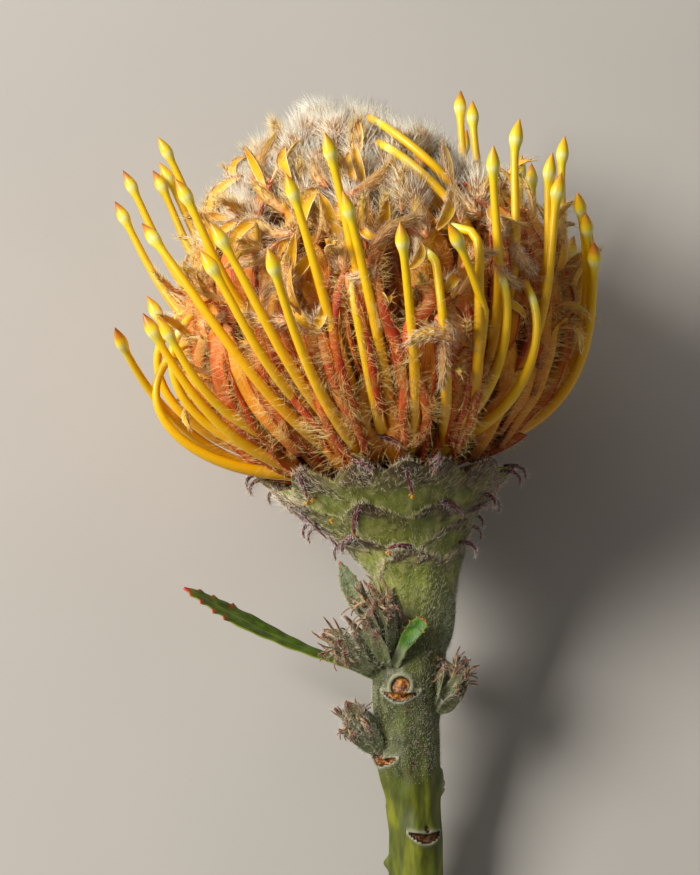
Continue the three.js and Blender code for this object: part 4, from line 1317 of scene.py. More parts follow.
@dataclass
class OpenFlorets:
    """The opened florets: a core of packed tubes, a channel round each style, curled ends and silky hairs."""

    layout: StyleSet
    form: HeadForm
    lanes: list[Array]
    rows: int = 28
    backs: int = 104  # strips between the channels
    seed: int = 11

    def build(self) -> None:
        """Casts the core, the strips, their ends and their hairs."""
        self._core()
        rng = np.random.default_rng(self.seed)
        kinds = (self._sheaths(rng), self._backs(rng), self._seen_ribbons())
        sheaths, backs, seen = (blades.grid() for blades, _ in kinds)
        grids = (make_way(sheaths, self.lanes), make_way(backs, self.lanes), seen)
        strips = Mould("warm", "back")
        for (blades, warm), grid in zip(kinds, grids):
            blades.add_to(strips, grid, warm=warm[:, None, None])
        strips.cast("floret_strips", RibbonTissue(), "perianth", "perianths")
        self._limbs(rng, kinds[0][0], kinds[1][0])
        self._silk(rng, *grids)

    def _core(self) -> None:
        """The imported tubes: the head's outline, sunk by 3.6 mm and grooved lengthwise 76 times round."""
        arc = np.linspace(1.0, self.form.arc[-1] - 1, 72)[:, None]
        azimuth = np.linspace(0, 360, 380, endpoint=False)[None]
        radius, height, slope = self.form.at(arc)
        turn = np.radians(azimuth)
        groove = 0.9 * np.abs(np.sin(38 * turn + 0.6 * np.sin(height / 7 + 5 * turn)))
        sink = 3.6 + rise(height, 46, 58) * 3.4 - groove
        radius = np.maximum(radius - sink * np.sin(slope), 0.2)
        mould = Mould()
        grid = mass_point(radius, azimuth, height + sink * np.cos(slope))[None]
        mould.shells(make_way(grid, self.lanes, 1.6))
        mould.cast("floret_core", CoreTissue(), "perianth", "perianths")

    def _sheaths(self, rng: Rng) -> tuple[Blades, Array]:
        """The channel that each style has sprung from: closed round the style's root, then open behind it.

        Its foot follows the style out of the head, its middle lies on the outline, and its end curls out.
        Its section turns by 1.9 radians to each side at the foot and 1.15 in the middle.

        Args:
            rng: for the draws.

        Returns:
            The channels, and how warm each one's colour is.
        """
        _, foot, low = self.layout.root.T[..., None]
        count = len(foot)
        share = np.linspace(0, 1, self.rows)
        length = rng.uniform(30, 37, count)
        start = np.interp(low[:, 0], self.form.height, self.form.arc) - 4.5
        away = rng.uniform(0.3, 2.2, (count, 1)) * rise(share, 0.8, 1.0) ** 1.5
        radius, height = self.form.walk(start, length, self.rows, away, 0.9)
        near = 1 - rise(share * length[:, None], 6, 13)
        radius = radius - near * np.maximum(radius - (self.layout.radius_at(height) - 1.9), 0)
        turn = turn_to(foot, self.layout.tip[:, 1:2], 0.42) - foot + rng.normal(0, 2.0, (count, 1))
        azimuth = foot + (turn + 1.5 * np.sin(2 * math.pi * share + foot)) * share
        half = 4.6 - 1.0 * rise(share, 0, 0.3) - 1.9 * rise(share, 0.62, 1.0)
        fold = 1.9 - 0.75 * rise(share, 0.0, 0.32) + rng.normal(0, 0.12, (count, 1)) * rise(share, 0.2, 0.5)
        centres = mass_point(radius, azimuth, height)
        blades = Blades(centres, around(azimuth), half, fold, 0.34, columns=13, hem=1.5)
        return blades, np.clip(rng.normal(0.28, 0.2, count), 0, 1)

    def _backs(self, rng: Rng) -> tuple[Blades, Array]:
        """Strips seen from behind, between the channels: broad and rounded, over the whole of the head.

        Args:
            rng: for the draws.

        Returns:
            The strips, and how warm each one's colour is.
        """
        i = np.arange(self.backs)
        each = (self.backs, 1)
        share = np.linspace(0, 1, self.rows)
        foot = i * GOLDEN_ANGLE + rng.normal(0, 4, self.backs)
        start = 1.5 + 46 * ((i + 0.5) / self.backs) ** 1.05 + rng.normal(0, 1, self.backs)
        length = rng.uniform(25, 34, self.backs) - 0.12 * start
        away = rng.uniform(0.1, 1.7, each) * rise(share, 0.76, 1.0) ** 1.5
        radius, height = self.form.walk(start, length, self.rows, away, rng.uniform(1.0, 2.4, self.backs))
        wave = 2.0 * np.sin(2 * math.pi * share + foot[:, None])
        azimuth = foot[:, None] + (rng.normal(0, 5, each) + wave) * share
        half = 3.0 * (0.5 + 0.5 * rise(share, 0, 0.3)) * (1 - 0.72 * rise(share, 0.66, 1))
        centres = mass_point(radius, azimuth, height)
        blades = Blades(centres, around(azimuth), half, -0.95 + rng.normal(0, 0.2, each), 0.35)
        left = 0.5 - 0.5 * np.sin(np.radians(foot))
        return blades, np.clip(rng.normal(0.08, 0.2, self.backs) + 0.28 * left, 0, 1)

    def _seen_ribbons(self) -> tuple[Blades, Array]:
        """The ribbons of SEEN_RIBBONS, as smooth curves that are narrow at the foot.

        Returns:
            The ribbons, and how warm each one's colour is.
        """
        share = np.linspace(0, 1, self.rows)
        half, fold, warm = np.array([row[:3] for row in SEEN_RIBBONS]).T
        lines = np.stack([smooth_curve(row[3:], share) for row in SEEN_RIBBONS])
        centres = self.form.seen(*np.moveaxis(lines, -1, 0))
        half = half[:, None] * (0.6 + 0.4 * rise(share, 0, 0.3)) * (1 - 0.35 * rise(share, 0.85, 1))
        azimuth = azimuth_of(centres)
        side, out = frames(centres, around(azimuth))
        facing = np.sign((out * outward(azimuth)).sum(axis=(1, 2)))[:, None, None]
        return Blades(centres, side * facing, half, fold[:, None], 0.4, hem=0.8), warm

    def _limbs(self, rng: Rng, *strips: Blades) -> None:
        """The florets' ends: curled limbs, two on each channel and one on each back, and those of SEEN_LIMBS.

        Args:
            rng: for the draws.
            strips: the channels and the backs.
        """
        lines, sides = (
            np.concatenate([np.repeat(part, repeats, axis=0) for part, repeats in zip(parts, (2, 1))])
            for parts in ([blades.centres for blades in strips], [blades.towards[:, -1] for blades in strips])
        )
        ways, sides = unit(lines[:, -1] - lines[:, -4]), unit(sides)
        out = np.cross(sides, ways)
        count, each = len(lines), (len(lines), 1)
        spread = rng.normal(0, 0.75, each)
        facing = np.where(rng.uniform(size=each) < 0.42, 1.0, -1.0)
        blades = curled_boats(
            lines[:, -2] - ways * 1.6,
            unit(ways + sides * spread + out * rng.normal(0.0, 0.3, each)),
            unit(sides * facing + ways * rng.normal(0, 0.3, each) + out * rng.normal(0, 0.45, each)),
            rng.uniform(8.5, 13, count),
            rng.uniform(1.25, 1.9, count),
            rng.normal(-0.3, 1.3, count),
            1.35,
        )
        seen = self._seen_limbs()
        grids = (make_way(blades.grid(), self.lanes, 1.5, whole=True), seen.grid())
        limbs = Mould("back")
        for kind, grid in zip((blades, seen), grids):
            kind.add_to(limbs, grid)
        limbs.cast("floret_limbs", LIMB_TISSUE, "perianth", "perianths")
        for finish, grid, hairs in zip((LIMB_WOOL, CAP_WOOL), grids, (20000, 9000)):
            wool = Mould()
            wool.fleece(rng, grid, hairs, (0.03, 1.0), (0.5, 1.0), (0.5, 0.85, 0, 0.25), (1.0, 3.2), 0.055)
            wool.cast(finish.name, finish, "wool", "perianths")

    def _seen_limbs(self) -> Blades:
        """The limbs of SEEN_LIMBS: straight but for a bulge to their left, half a sine wave long.

        Returns:
            The limbs.
        """
        foot_x, foot_z, end_x, end_z, half, facing, bulge, clear = np.array(SEEN_LIMBS, dtype=float).T
        base, tip = self.form.seen(foot_x, foot_z, clear), self.form.seen(end_x, end_z, clear)
        away = unit(outward(azimuth_of(base)) + np.array([0.0, -0.9, 0.0]))
        side = unit(np.cross(away, tip - base))
        share = np.linspace(0, 1, 12)
        bow = (side * bulge[:, None] + away)[:, None] * np.sin(math.pi * share)[:, None]
        centres = base[:, None] + (tip - base)[:, None] * share[:, None] + bow
        level, out = frames(centres, side[:, None])
        facing = (facing * np.sign((out * away[:, None]).sum(axis=(1, 2))))[:, None, None]
        return Blades(centres, level * facing, half[:, None] * lens(share), 1.3, 0.24, columns=4)

    def _silk(self, rng: Rng, sheaths: Array, backs: Array, seen: Array) -> None:
        """Long silky hairs: along the channels' and ribbons' margins and over the backs' outer faces.

        Args:
            rng: for the draws.
            sheaths: the channels' points.
            backs: the backs' points.
            seen: the seen ribbons' points.
        """
        plan = (  # what bears them, how many, and the share of its columns
            (sheaths, 3600, (0.0, 0.06)), (sheaths, 3600, (0.44, 0.5)), (sheaths, 3400, (0.55, 0.95)),
            (backs, 6600, (0.02, 0.48)), (seen, 1100, (0.0, 0.08)), (seen, 1100, (0.42, 0.5)),
        )
        for part in (1, 2):
            mould = Mould()
            for grid, count, columns in plan:
                place, _, along = scatter(grid, count, rng, (0.02, 0.98), columns)
                azimuth = azimuth_of(place)
                swirl, sweep = ripple(place, 7.0, 81)[:, None], ripple(place, 5.0, 82)[:, None]
                lie = 1.1 * swirl * around(azimuth) + 0.75 * outward(azimuth) + (0.6 * sweep - 0.1) * along
                way = unit(lie + rng.normal(0, 0.36, place.shape))
                mould.hairs(place, way, 1.4 + 5.2 * rng.uniform(0, 1, count) ** 1.5, 0.045)
            mould.cast(f"floret_silk_{part}", SILK, "wool", "perianths")


def lens(share: Array) -> Array:
    """A limb's width over its greatest one, at shares of its length."""
    return np.sin(math.pi * (share * 0.93 + 0.05)) ** 0.7


def curled_boats(
    base: Array, way: Array, side: Array, length: Array, half: Array, curl: Array, fold: float,
    rows: int = 9, thick: float = 0.22,
) -> Blades:
    """Boat-shaped limbs: lens-shaped blades whose middles bend evenly by `curl` radians from foot to tip.

    Args:
        base: where each limb starts.
        way: the direction in which it sets off.
        side: its sideways direction.
        length: its length.
        half: its half-width at the widest place.
        curl: its turn towards its outer face, negative towards the inner one.
        fold: how far its section is folded.
        rows: points along it.
        thick: its wall's thickness.

    Returns:
        The blades.
    """
    side = unit(side - dot(side, way) * way)
    share = np.linspace(0, 1, rows)
    angle = curl[:, None] * share
    step = length[:, None] / (rows - 1)
    forward = np.cumsum(np.cos(angle) * step, axis=1) - step
    lift = np.cumsum(np.sin(angle) * step, axis=1)
    out = np.cross(side, way)
    centres = base[:, None] + way[:, None] * forward[..., None] + out[:, None] * lift[..., None]
    return Blades(centres, side[:, None], half[:, None] * lens(share), fold, thick, columns=4)


# ---- the crown
@dataclass
class Crown:
    """The closed florets over the top of the head: woolly clubs, with opening limbs among them."""

    form: HeadForm
    lanes: list[Array]
    clubs: int = 92
    lowest: float = 50.5  # height of the lowest club
    rows: int = 16
    # share of a club's length and radius there
    outline: tuple = (
        (0, 1.1), (0.3, 1.1), (0.45, 1.35), (0.6, 1.85), (0.75, 1.95), (0.88, 1.5), (0.96, 0.8), (1, 0.25),
    )
    limbs: int = 84
    limbs_lowest: float = 44.0
    bare_top: float = 15.0  # round the crown's top, where no limb opens
    settled_from: float = 70.0
    seed: int = 23

    def build(self) -> None:
        """Casts the clubs, their wool and the limbs that open between them."""
        rng = np.random.default_rng(self.seed)
        grid = self._clubs(rng)
        mould = Mould()
        mould.shells(grid)
        mould.cast("closed_florets", CLUB_SKIN, "wool", "closed_florets")
        for name, finish, count, length, thick in (
            ("underwool", UNDERWOOL, 42000, (0.9, 2.0), 0.1),
            ("fleece_1", FLEECE, 13500, (2.8, 5.8), 0.085),
            ("fleece_2", FLEECE, 13500, (2.8, 5.8), 0.085),
        ):
            wool = Mould()
            lie = (0.11 * sum(length), 0.9, 0.2, 0.25)
            wool.fleece(rng, grid, count, (0.26, 0.99), (0.0, 1.0), lie, length, thick)
            wool.cast(f"crown_{name}", finish, "wool", "closed_florets")
        self._opening_limbs(rng)

    def _place(self, rng: Rng, count: int, low: float, inset: float) -> tuple[Array, ...]:
        """Spreads places evenly over the crown by the golden angle.

        Args:
            rng: for the draws.
            count: how many places.
            low: height of the lowest.
            inset: how far inside the outline they are.

        Returns:
            Places, outward normals, directions up the outline, and azimuths.
        """
        i = np.arange(count)
        radius = self.form.radius_at(low) * np.sqrt(1 - (i + 0.5) / count)
        upper = self.form.height > 40
        arc = np.interp(-radius, -self.form.radius[upper], self.form.arc[upper])
        azimuth = i * GOLDEN_ANGLE + rng.normal(0, 3, count)
        _, height, slope = self.form.at(arc)
        away, sine, cosine = outward(azimuth), np.sin(slope)[:, None], np.cos(slope)[:, None]
        normal, climb = away * sine - HEAD_AXIS * cosine, away * cosine + HEAD_AXIS * sine
        return mass_point(radius, azimuth, height) - inset * normal, normal, climb, azimuth

    def _clubs(self, rng: Rng) -> Array:
        """The clubs: tubes on paths that lean in over the crown, thin at the stalk and fat at the knob.

        Args:
            rng: for the draws.

        Returns:
            A grid for Mould.shells.
        """
        base, normal, climb, azimuth = self._place(rng, self.clubs, self.lowest, 6.4)
        side, each = around(azimuth), (self.clubs, 1)
        lean = 0.66 * normal + 0.7 * climb + side * rng.normal(0, 0.25, each)
        way = unit(lean + rng.normal(0, 0.15, base.shape))
        inwards = unit(climb - 0.6 * normal)
        length = rng.uniform(9.5, 12.0, each)[..., None]
        share = np.linspace(0, 1, self.rows)[:, None]
        centres = base[:, None] + way[:, None] * length * share + inwards[:, None] * 1.6 * share**2.2
        centres = self._settled(centres)
        radii = table(self.outline, share[:, 0]) * rng.uniform(0.85, 1.15, each)
        return tubes(centres, radii, 12, side[:, None], flat=0.85)[self._inside(centres, 0.8)]

    def _settled(self, points: Array) -> Array:
        """The points, with what stands above settled_from pressed down by two fifths to round the top."""
        return points - 0.4 * np.maximum(points[..., 2:] - self.settled_from, 0) * np.array([0.0, 0.0, 1.0])

    @staticmethod
    def _inside(centres: Array, spare: float) -> Array:
        """Which of some lines of points end within the crown's right-hand outline."""
        end = centres[:, -1]
        return (end[:, 0] < table(CROWN_RIGHT, end[:, 2]) + spare) | (end[:, 1] > 8)

    def _opening_limbs(self, rng: Rng) -> None:
        """Limbs of florets that are just opening: upright yellow boats, between and below the clubs.

        Args:
            rng: for the draws.
        """
        places = self._place(rng, self.limbs, self.limbs_lowest, 4.6)
        keep = np.linalg.norm(places[0] - mass_point(0, 0, 76), axis=1) > self.bare_top
        base, normal, climb, azimuth = (part[keep] for part in places)
        count, each = len(base), (len(base), 1)
        facing = np.where(rng.uniform(size=each) < 0.3, 1.0, -1.0)
        side = unit(around(azimuth) * facing + climb * rng.normal(0, 0.5, each))
        way = unit(0.95 * climb + 0.3 * normal + around(azimuth) * rng.normal(0, 0.5, each))
        blades = curled_boats(
            base + normal * 2.2, way, side, rng.uniform(9, 13, count), rng.uniform(1.5, 2.2, count),
            rng.normal(0.2, 0.9, count), 1.45,
        )
        grid = make_way(blades.grid(), self.lanes, 1.5, whole=True)
        grid = self._settled(grid[self._inside(blades.centres, 2.5)])
        limbs, wool = Mould("back"), Mould()
        blades.add_to(limbs, grid)
        limbs.cast("opening_limbs", LIMB_TISSUE, "wool", "closed_florets")
        wool.fleece(rng, grid, 20000, (0.03, 1.0), (0.5, 1.0), (0.6, 0.9, 0, 0.3), (1.4, 4.2), 0.06)
        wool.cast("opening_wool", LIMB_WOOL, "wool", "closed_florets")


# ---- stem, receptacle and bracts
class ScarForm(Enum):
    """What a fallen leaf or shoot has left.

    Each form has its crescent's drop and height, its disc's x, y and radius, and how corky it is.
    """

    BUD = (2.5, 0.85, 0, 0, 1.75, 1.0)
    CRESCENT = (0.5, 0.7, -1.2, 0.5, 1.75, 1.0)
    CRACK = (0.0, 1.0, 0.3, 1.9, 0.5, 0.72)
    KNOB = ()


# [azimuth, height, half-width, form]
SCARS = (
    (-13, -42.4, 3.8, ScarForm.BUD), (-52, -58.2, 3.5, ScarForm.CRESCENT), (21, -74.4, 3.5, ScarForm.CRACK),
    (-95, -80.5, 1.3, ScarForm.KNOB), (150, -52, 3.4, ScarForm.BUD), (-150, -70, 3.2, ScarForm.CRACK),
    (110, -64, 3.2, ScarForm.CRESCENT),
)
# [apex x, apex z, x and z of the hook's end], all as seen
SEEN_BRACTS = (
    (-18.5, 4.2, -18.1, -2.5), (-18.9, -3.2, -17, -8.4), (-27.5, 0.4, -30, -5.3), (-24.8, -1.1, -29, -7.4),
    (-22.7, -4.2, -28, -9.5), (-17, -7.4, -20.5, -11.6), (-12.2, -11.1, -17, -14.7),
    (-6.9, -11.6, -11.1, -15.1),
    (-6.3, -4.2, -8.2, -11.6), (3.6, -14.3, -1.1, -14.9), (2.3, 4.2, 3.6, -3.6), (-7.5, 4.6, -4.4, 1.7),
    (8.8, -5.3, 14.5, -8.8), (13.6, -8.4, 20, -7.2), (18.3, 2.1, 21.8, -4.2), (9.4, 3.6, 8.2, 0.4),
)
# [azimuth, top] of bracts on the flanks, between the seen ones and the far ones
FLANK_BRACTS = (
    (74, -0.6), (92, 0.2), (64, -4.4), (83, -5.4), (98, -10.6), (72, -13.5), (-96, 2.8), (-82, -9), (-98, -8),
)
STRAY_HOOK = np.array([[-5.2, -26.6, 9.6], [1.2, -28.6, 7.0]])  # from apex to end, in front of the florets
RECEPTACLE_RINGS = (*STEM_RINGS, (8, 0, 30.5))
# [x, z, distance from the skin]
POLLEN_SPOTS = ((-1.1, -15.1, 3.4), (3.6, -3.8, 3.5), (-18.4, -3.1, 3.4), (-17, -2.4, 1.6), (-13, -7.4, 1.8))


def apart(azimuth: Array, place: Array) -> Array:
    """How far round azimuths are from a place, in radians from minus half a turn to half a turn."""
    return np.radians(np.mod(azimuth - place + 180, 360) - 180)


@dataclass(frozen=True)
class Bracts:
    """Azimuth, top and width of every bract, and the end of its hook."""

    azimuth: Array
    top: Array
    width: Array
    end: Array

    def edge(self, azimuth: Array, radius: Array) -> tuple[Array, Array]:
        """Each bract's upper edge, which falls from its apex by 4.4 mm times the share to the power 1.4.

        Args:
            azimuth: where it is read.
            radius: the skin's radius there.

        Returns:
            The edge's height, slightly waved, and how far aside of the bract's middle it is in half-widths.
        """
        aside = apart(azimuth[..., None], self.azimuth) * radius[..., None] / (self.width / 2)
        wave = 0.25 * np.sin(aside * 4.0 + self.top * 3)
        return self.top - 4.4 * np.abs(aside) ** 1.4 + wave * np.abs(aside), aside


@dataclass
class Stem:
    """The stem with its flared receptacle, bracts, hooks and leaf scars, grown as one piece."""

    hidden: int = 20  # bracts on the far side
    width: float = 14.5  # of a bract
    ledge: float = 2.1
    columns: int = 330
    rows_cut: int = 8
    rows_low: int = 150
    rows_high: int = 118
    rows_funnel: int = 7  # down into the receptacle, under the florets
    change: float = -36.0  # height from which the rows rise to the notched brim
    seed: int = 37

    def build(self) -> None:
        """Casts the stem with its relief, the bracts' hooks, the wool and a few grains of pollen."""
        rng = np.random.default_rng(self.seed)
        bracts = self._bracts()
        grid, rim, marks = self._body(bracts)
        mould = Mould(*marks)
        mould.shells(grid[None], **marks)
        mould.cast("stem", StemBark(), "stem", "stem")
        hooks = self._hooks(bracts)
        self._wool(rng, grid, rim, marks)
        white = Mould()
        white.fleece(rng, hooks, 5200, (0.05, 0.97), (0.0, 1.0), (0, 0.35, -0.2, 0.7), (0.7, 2.0), 0.038)
        white.cast("hook_hairs", HOOK_HAIRS, "stem", "stem")
        self._pollen(rng)

    @staticmethod
    def _seen(x: Array, z: Array, clear: float) -> tuple[Array, Array, Array]:
        """Where points near the stem's skin are, from where they are seen.

        Args:
            x: how far right of the head's foot each point is seen.
            z: how far above it.
            clear: its distance from the skin.

        Returns:
            Radius, azimuth and height.
        """
        radius = table(STEM_RINGS, z, 2) + clear
        across = np.clip(x - table(STEM_RINGS, z), -0.98 * radius, 0.98 * radius)
        shrink = 1 - np.sqrt(radius**2 - across**2) / VIEW_DISTANCE
        sine = np.clip(across * shrink / radius, -0.98, 0.98)
        return radius, np.degrees(np.arcsin(sine)), VIEW_CENTRE[1] + (z - VIEW_CENTRE[1]) * shrink

    def _bracts(self) -> Bracts:
        """All the bracts: the seen ones, the hidden ones and those on the flanks.

        Returns:
            The bracts.
        """
        x, z, end_x, end_z = np.array(SEEN_BRACTS, dtype=float).T
        _, azimuth, top = self._seen(x, z, 0.0)
        ends = stem_point(*self._seen(end_x, end_z, 3.2))
        i = np.arange(self.hidden)
        share = i / (self.hidden - 1)
        flank, flank_top = np.array(FLANK_BRACTS, dtype=float).T
        far = np.append(100 + np.mod(i * 61.8 + 4 * draw(i, 43), 160), flank)
        far_top = np.append(4.4 - 19.4 * share**1.1 + 0.6 * draw(i, 41), flank_top)
        apex = stem_point(table(STEM_RINGS, far_top, 2) + 0.8, far, far_top)
        narrowing = np.concatenate([np.ones(len(x)), 1 - 0.3 * share, np.ones(len(flank))])
        return Bracts(
            np.append(azimuth, far), np.append(top, far_top), self.width * narrowing,
            np.concatenate([ends, apex + outward(far) * 3 - HEAD_AXIS * 3]),
        )

    def _body(self, bracts: Bracts) -> tuple[Array, Array, dict[str, Array]]:
        """The stem's skin: rings with soft ribs, the scars' and bracts' relief, a notched rim and a cut face.

        A bract lifts the skin by `ledge` at its upper edge, fading to nothing 15 mm below it. Where bracts
        overlap, the highest lift counts.

        Args:
            bracts: the bracts.

        Returns:
            The grid, how near the bracts' edges each point is, and the values of each mark.
        """
        azimuth = np.linspace(0, 360, self.columns, endpoint=False)[None]
        edge, aside = bracts.edge(azimuth, np.full_like(azimuth, 27.0))
        brim = np.where((np.abs(aside) < 1.2) & (bracts.top > 0.5), edge, 0.4).max(axis=-1)
        climb = np.linspace(0, 1, self.rows_high)[1:, None]
        over = np.linspace(0, 1, self.rows_funnel + 1)[1:, None]
        low = np.linspace(STEM_END, self.change, self.rows_low)[:, None]
        height = np.concatenate([
            np.full((self.rows_cut, self.columns), STEM_END), np.repeat(low, self.columns, axis=1),
            self.change + climb * (brim - self.change), brim - over * (brim + 0.6),
        ])
        azimuth = np.broadcast_to(azimuth, height.shape)
        first, last = self.rows_cut, len(height) - self.rows_funnel
        inward = np.ones((len(height), 1))
        inward[:first, 0] = np.linspace(0.02, 0.99, first)
        fine = np.linspace(STEM_END - 10, 8, 473)
        window = np.hanning(13)
        rings = np.pad(table(RECEPTACLE_RINGS, fine, 2), 6, mode="edge")
        radius = np.interp(height, fine, np.convolve(rings, window / window.sum(), "valid"))
        bare = stem_point(radius, azimuth, height)
        bump = 0.1 * ripple(bare, 4.0, 5) + 0.24 * ripple(bare * np.array([1, 1, 0.35]), 9.0, 6)
        bump += 0.14 * np.sin(np.radians(azimuth) * 9 + height / 14)
        lift, cork, lip = self._scars(azimuth, height, radius)
        edge, aside = bracts.edge(azimuth, np.maximum(radius, 7))
        below = edge - height[..., None]
        inside = (below > -1e-6) & (np.abs(aside) < 1.2)
        fade = (0.25 + 0.75 * np.exp(-below / 4.5)) * (1 - rise(below, 8, 15))
        strength = self.ledge * (1 - 0.45 * np.abs(aside) ** 1.5) * (0.8 + 0.2 * rise(bracts.top, -12, 0))
        strength = np.where(inside, strength * fade, 0)
        winner = strength.argmax(axis=-1)[..., None]
        ledge, near, off = (np.take_along_axis(of, winner, -1)[..., 0] for of in (strength, below, aside))
        middle = 1 - np.clip(np.abs(off) / 0.9, 0, 1)
        reach = 2.6 + 4.0 * rise(bracts.top[winner[..., 0]], -6, 2) * middle + 1.2 * middle
        rim = np.where(ledge > 0, 1 - rise(near + 0.9 * ripple(bare, 2.8, 9), 0.35 * reach, reach), 0)
        swollen = (radius + (bump + lift) * rise(height, STEM_END, STEM_END + 1.2) + ledge) * inward
        swollen[last:] = swollen[last - 1] + over * (6.0 - swollen[last - 1])
        cut = np.zeros_like(height)
        cut[:first] = np.clip(1.06 - inward[:first], 0.06, 1)
        facing = rise(np.cos(np.radians(azimuth - 18)), 0.8, 0.99)
        return stem_point(swollen, azimuth, height), rim, {
            "high": rise(height + 5 * ripple(bare, 12.0, 8), -64, -56),
            "top": rise(height + 4 * ripple(bare, 10.0, 18), -34, -18),
            "felt": rise(ripple(bare, 8.0, 28), -0.9, 0.5) * (1 - rise(height, -34, -26)),
            "worn": 0.1 + 0.9 * facing * rise(height, -66, -58) * (1 - rise(height, -48, -42)),
            "cut": cut,
            "cork": cork,
            "lip": lip,
            "band": rim * (0.35 + 0.65 * rise(middle, 0.1, 0.7)),
        }

    @staticmethod
    def _scars(azimuth: Array, height: Array, radius: Array) -> tuple[Array, Array, Array]:
        """The leaf scars: lens-shaped hollows with raised lips, and dished discs in a raised collar.

        Args:
            azimuth: where the skin is.
            height: its height.
            radius: its radius.

        Returns:
            How far the skin is lifted, and the marks for cork and for pale lips.
        """
        lift, cork, lip = np.zeros((3, *height.shape))
        for place, level, width, form in SCARS:
            x, y = apart(azimuth, place) * radius, height - level
            if form is ScarForm.KNOB:
                lift += 1.3 * np.exp(-((x / width) ** 2 + (y / width) ** 2))
                continue
            drop, tall, disc_x, disc_y, disc, dark = form.value
            lens_y = y + drop - 0.16 * np.abs(x) ** 1.5
            half = tall * np.maximum(1 - (x / width) ** 2, 0)
            hollow = (1 - rise(np.abs(lens_y) / np.maximum(half, 0.08), 0.7, 1.05)) * (half > 0.05)
            lips = np.exp(-(((np.abs(lens_y) - half - 0.2) / 0.42) ** 2)) * (np.abs(x) < width + 0.4)
            gone = np.hypot(x - disc_x, y - disc_y)
            face = 1 - rise(gone, disc - 0.2, disc + 0.15)
            collar = np.exp(-(((gone - disc - 0.6) / 0.5) ** 2)) * (disc > 1.5)
            mound = np.exp(-((x / (width * 1.25)) ** 2 + ((y + drop / 2) / 4.2) ** 2))
            lift += 0.9 * mound + 0.4 * lips - 0.75 * hollow + 0.5 * collar - 0.35 * face
            cork = np.maximum(cork, np.maximum(hollow, face) * dark)
            lip = np.maximum(lip, np.maximum(0.9 * lips, 0.75 * collar) * (1 - hollow) * (1 - face))
        return lift, cork, lip

    @staticmethod
    def _hooks(bracts: Bracts) -> Array:
        """Casts the bracts' hooked tips, tubes on Beziers from the apex out and over to the hook's end.

        Args:
            bracts: the bracts.

        Returns:
            The hooks' points.
        """
        apex = stem_point(table(RECEPTACLE_RINGS, bracts.top, 2) + 0.9, bracts.azimuth, bracts.top)
        start = np.concatenate([apex, STRAY_HOOK[:1]])[:, None]
        finish = np.concatenate([bracts.end, STRAY_HOOK[1:]])[:, None]
        azimuth = np.append(bracts.azimuth, -10.0)[:, None]
        away = outward(azimuth)
        t = np.linspace(0, 1, 22)
        over, fall = start + 2.4 * away + 0.8 * HEAD_AXIS, finish + 0.8 * away + 1.8 * HEAD_AXIS
        centres = bezier(start - 1.2 * away, over, fall, finish, t[:, None])
        radii = np.broadcast_to(1.1 - 0.82 * t**0.8, centres.shape[:2])
        grid = tubes(centres, radii, 8, around(azimuth), flat=0.6)
        mould = Mould()
        mould.shells(grid)
        mould.cast("bract_hooks", HOOK_SKIN, "stem", "stem")
        return grid

    def _wool(self, rng: Rng, grid: Array, rim: Array, marks: dict[str, Array]) -> None:
        """Wool: a silvery nap over the upper stem and receptacle, and brown fringes at the bracts' edges.

        Args:
            rng: for the draws.
            grid: the stem's skin by row and column.
            rim: how near the bracts' edges its points are.
            marks: its marks.
        """
        last = len(grid)
        outer = unit((grid - stem_point(0.0, 0.0, grid[..., 2])) * np.array([1.0, 1.0, 0.35]))
        nap, fringe = Mould(), Mould()
        # for each stretch of rows: how many, their lengths, and how far they stand off
        for low, high, count, length, stand in (
            (0.17, 0.5, 6000, (0.25, 0.7), 0.5), (0.36, 0.96, 14000, (0.35, 1.1), 0.45),
            (0.56, 0.96, 7000, (0.9, 2.1), 0.7),
        ):
            at = rng.integers(int(low * last), int(high * last), count), rng.integers(0, self.columns, count)
            keep = (marks["cork"][at] < 0.3) & (marks["high"][at] > rng.uniform(0.2, 0.8, count))
            self._tuft(nap, rng, grid[at][keep], outer[at][keep], (stand, 0.7, 0.32), length, 0.04)
        nap.cast("stem_nap", STEM_NAP, "stem", "stem")
        rows, columns = np.nonzero(rim[: last - self.rows_funnel - 1] > 0.72)
        pick = rng.integers(0, len(rows), 11000)
        at = rows[pick], columns[pick]
        self._tuft(fringe, rng, grid[at], outer[at], (0.55, 0.9, 0.35), (0.9, 2.8), 0.05)
        at = rng.integers(int(0.915 * last), int(0.955 * last), 4600), rng.integers(0, self.columns, 4600)
        self._tuft(fringe, rng, grid[at], outer[at], (0.7, 0.8, 0.4), (1.4, 4.0), 0.05)
        fringe.cast("bract_fringe", BRACT_FRINGE, "stem", "stem")

    @staticmethod
    def _tuft(
        mould: Mould, rng: Rng, roots: Array, outer: Array, lie: tuple, length: tuple, thick: float
    ) -> None:
        """Grows hairs at roots.

        Args:
            mould: what they are added to.
            rng: for the draws.
            roots: where they grow.
            outer: the directions straight out of the skin.
            lie: how much of outer, of the head's axis and of chance is in their direction.
            length: the shortest and the longest.
            thick: radius at the root.
        """
        way = lie[0] * outer + lie[1] * HEAD_AXIS + rng.normal(0, lie[2], roots.shape)
        mould.hairs(roots, unit(way), rng.uniform(*length, len(roots)), thick)

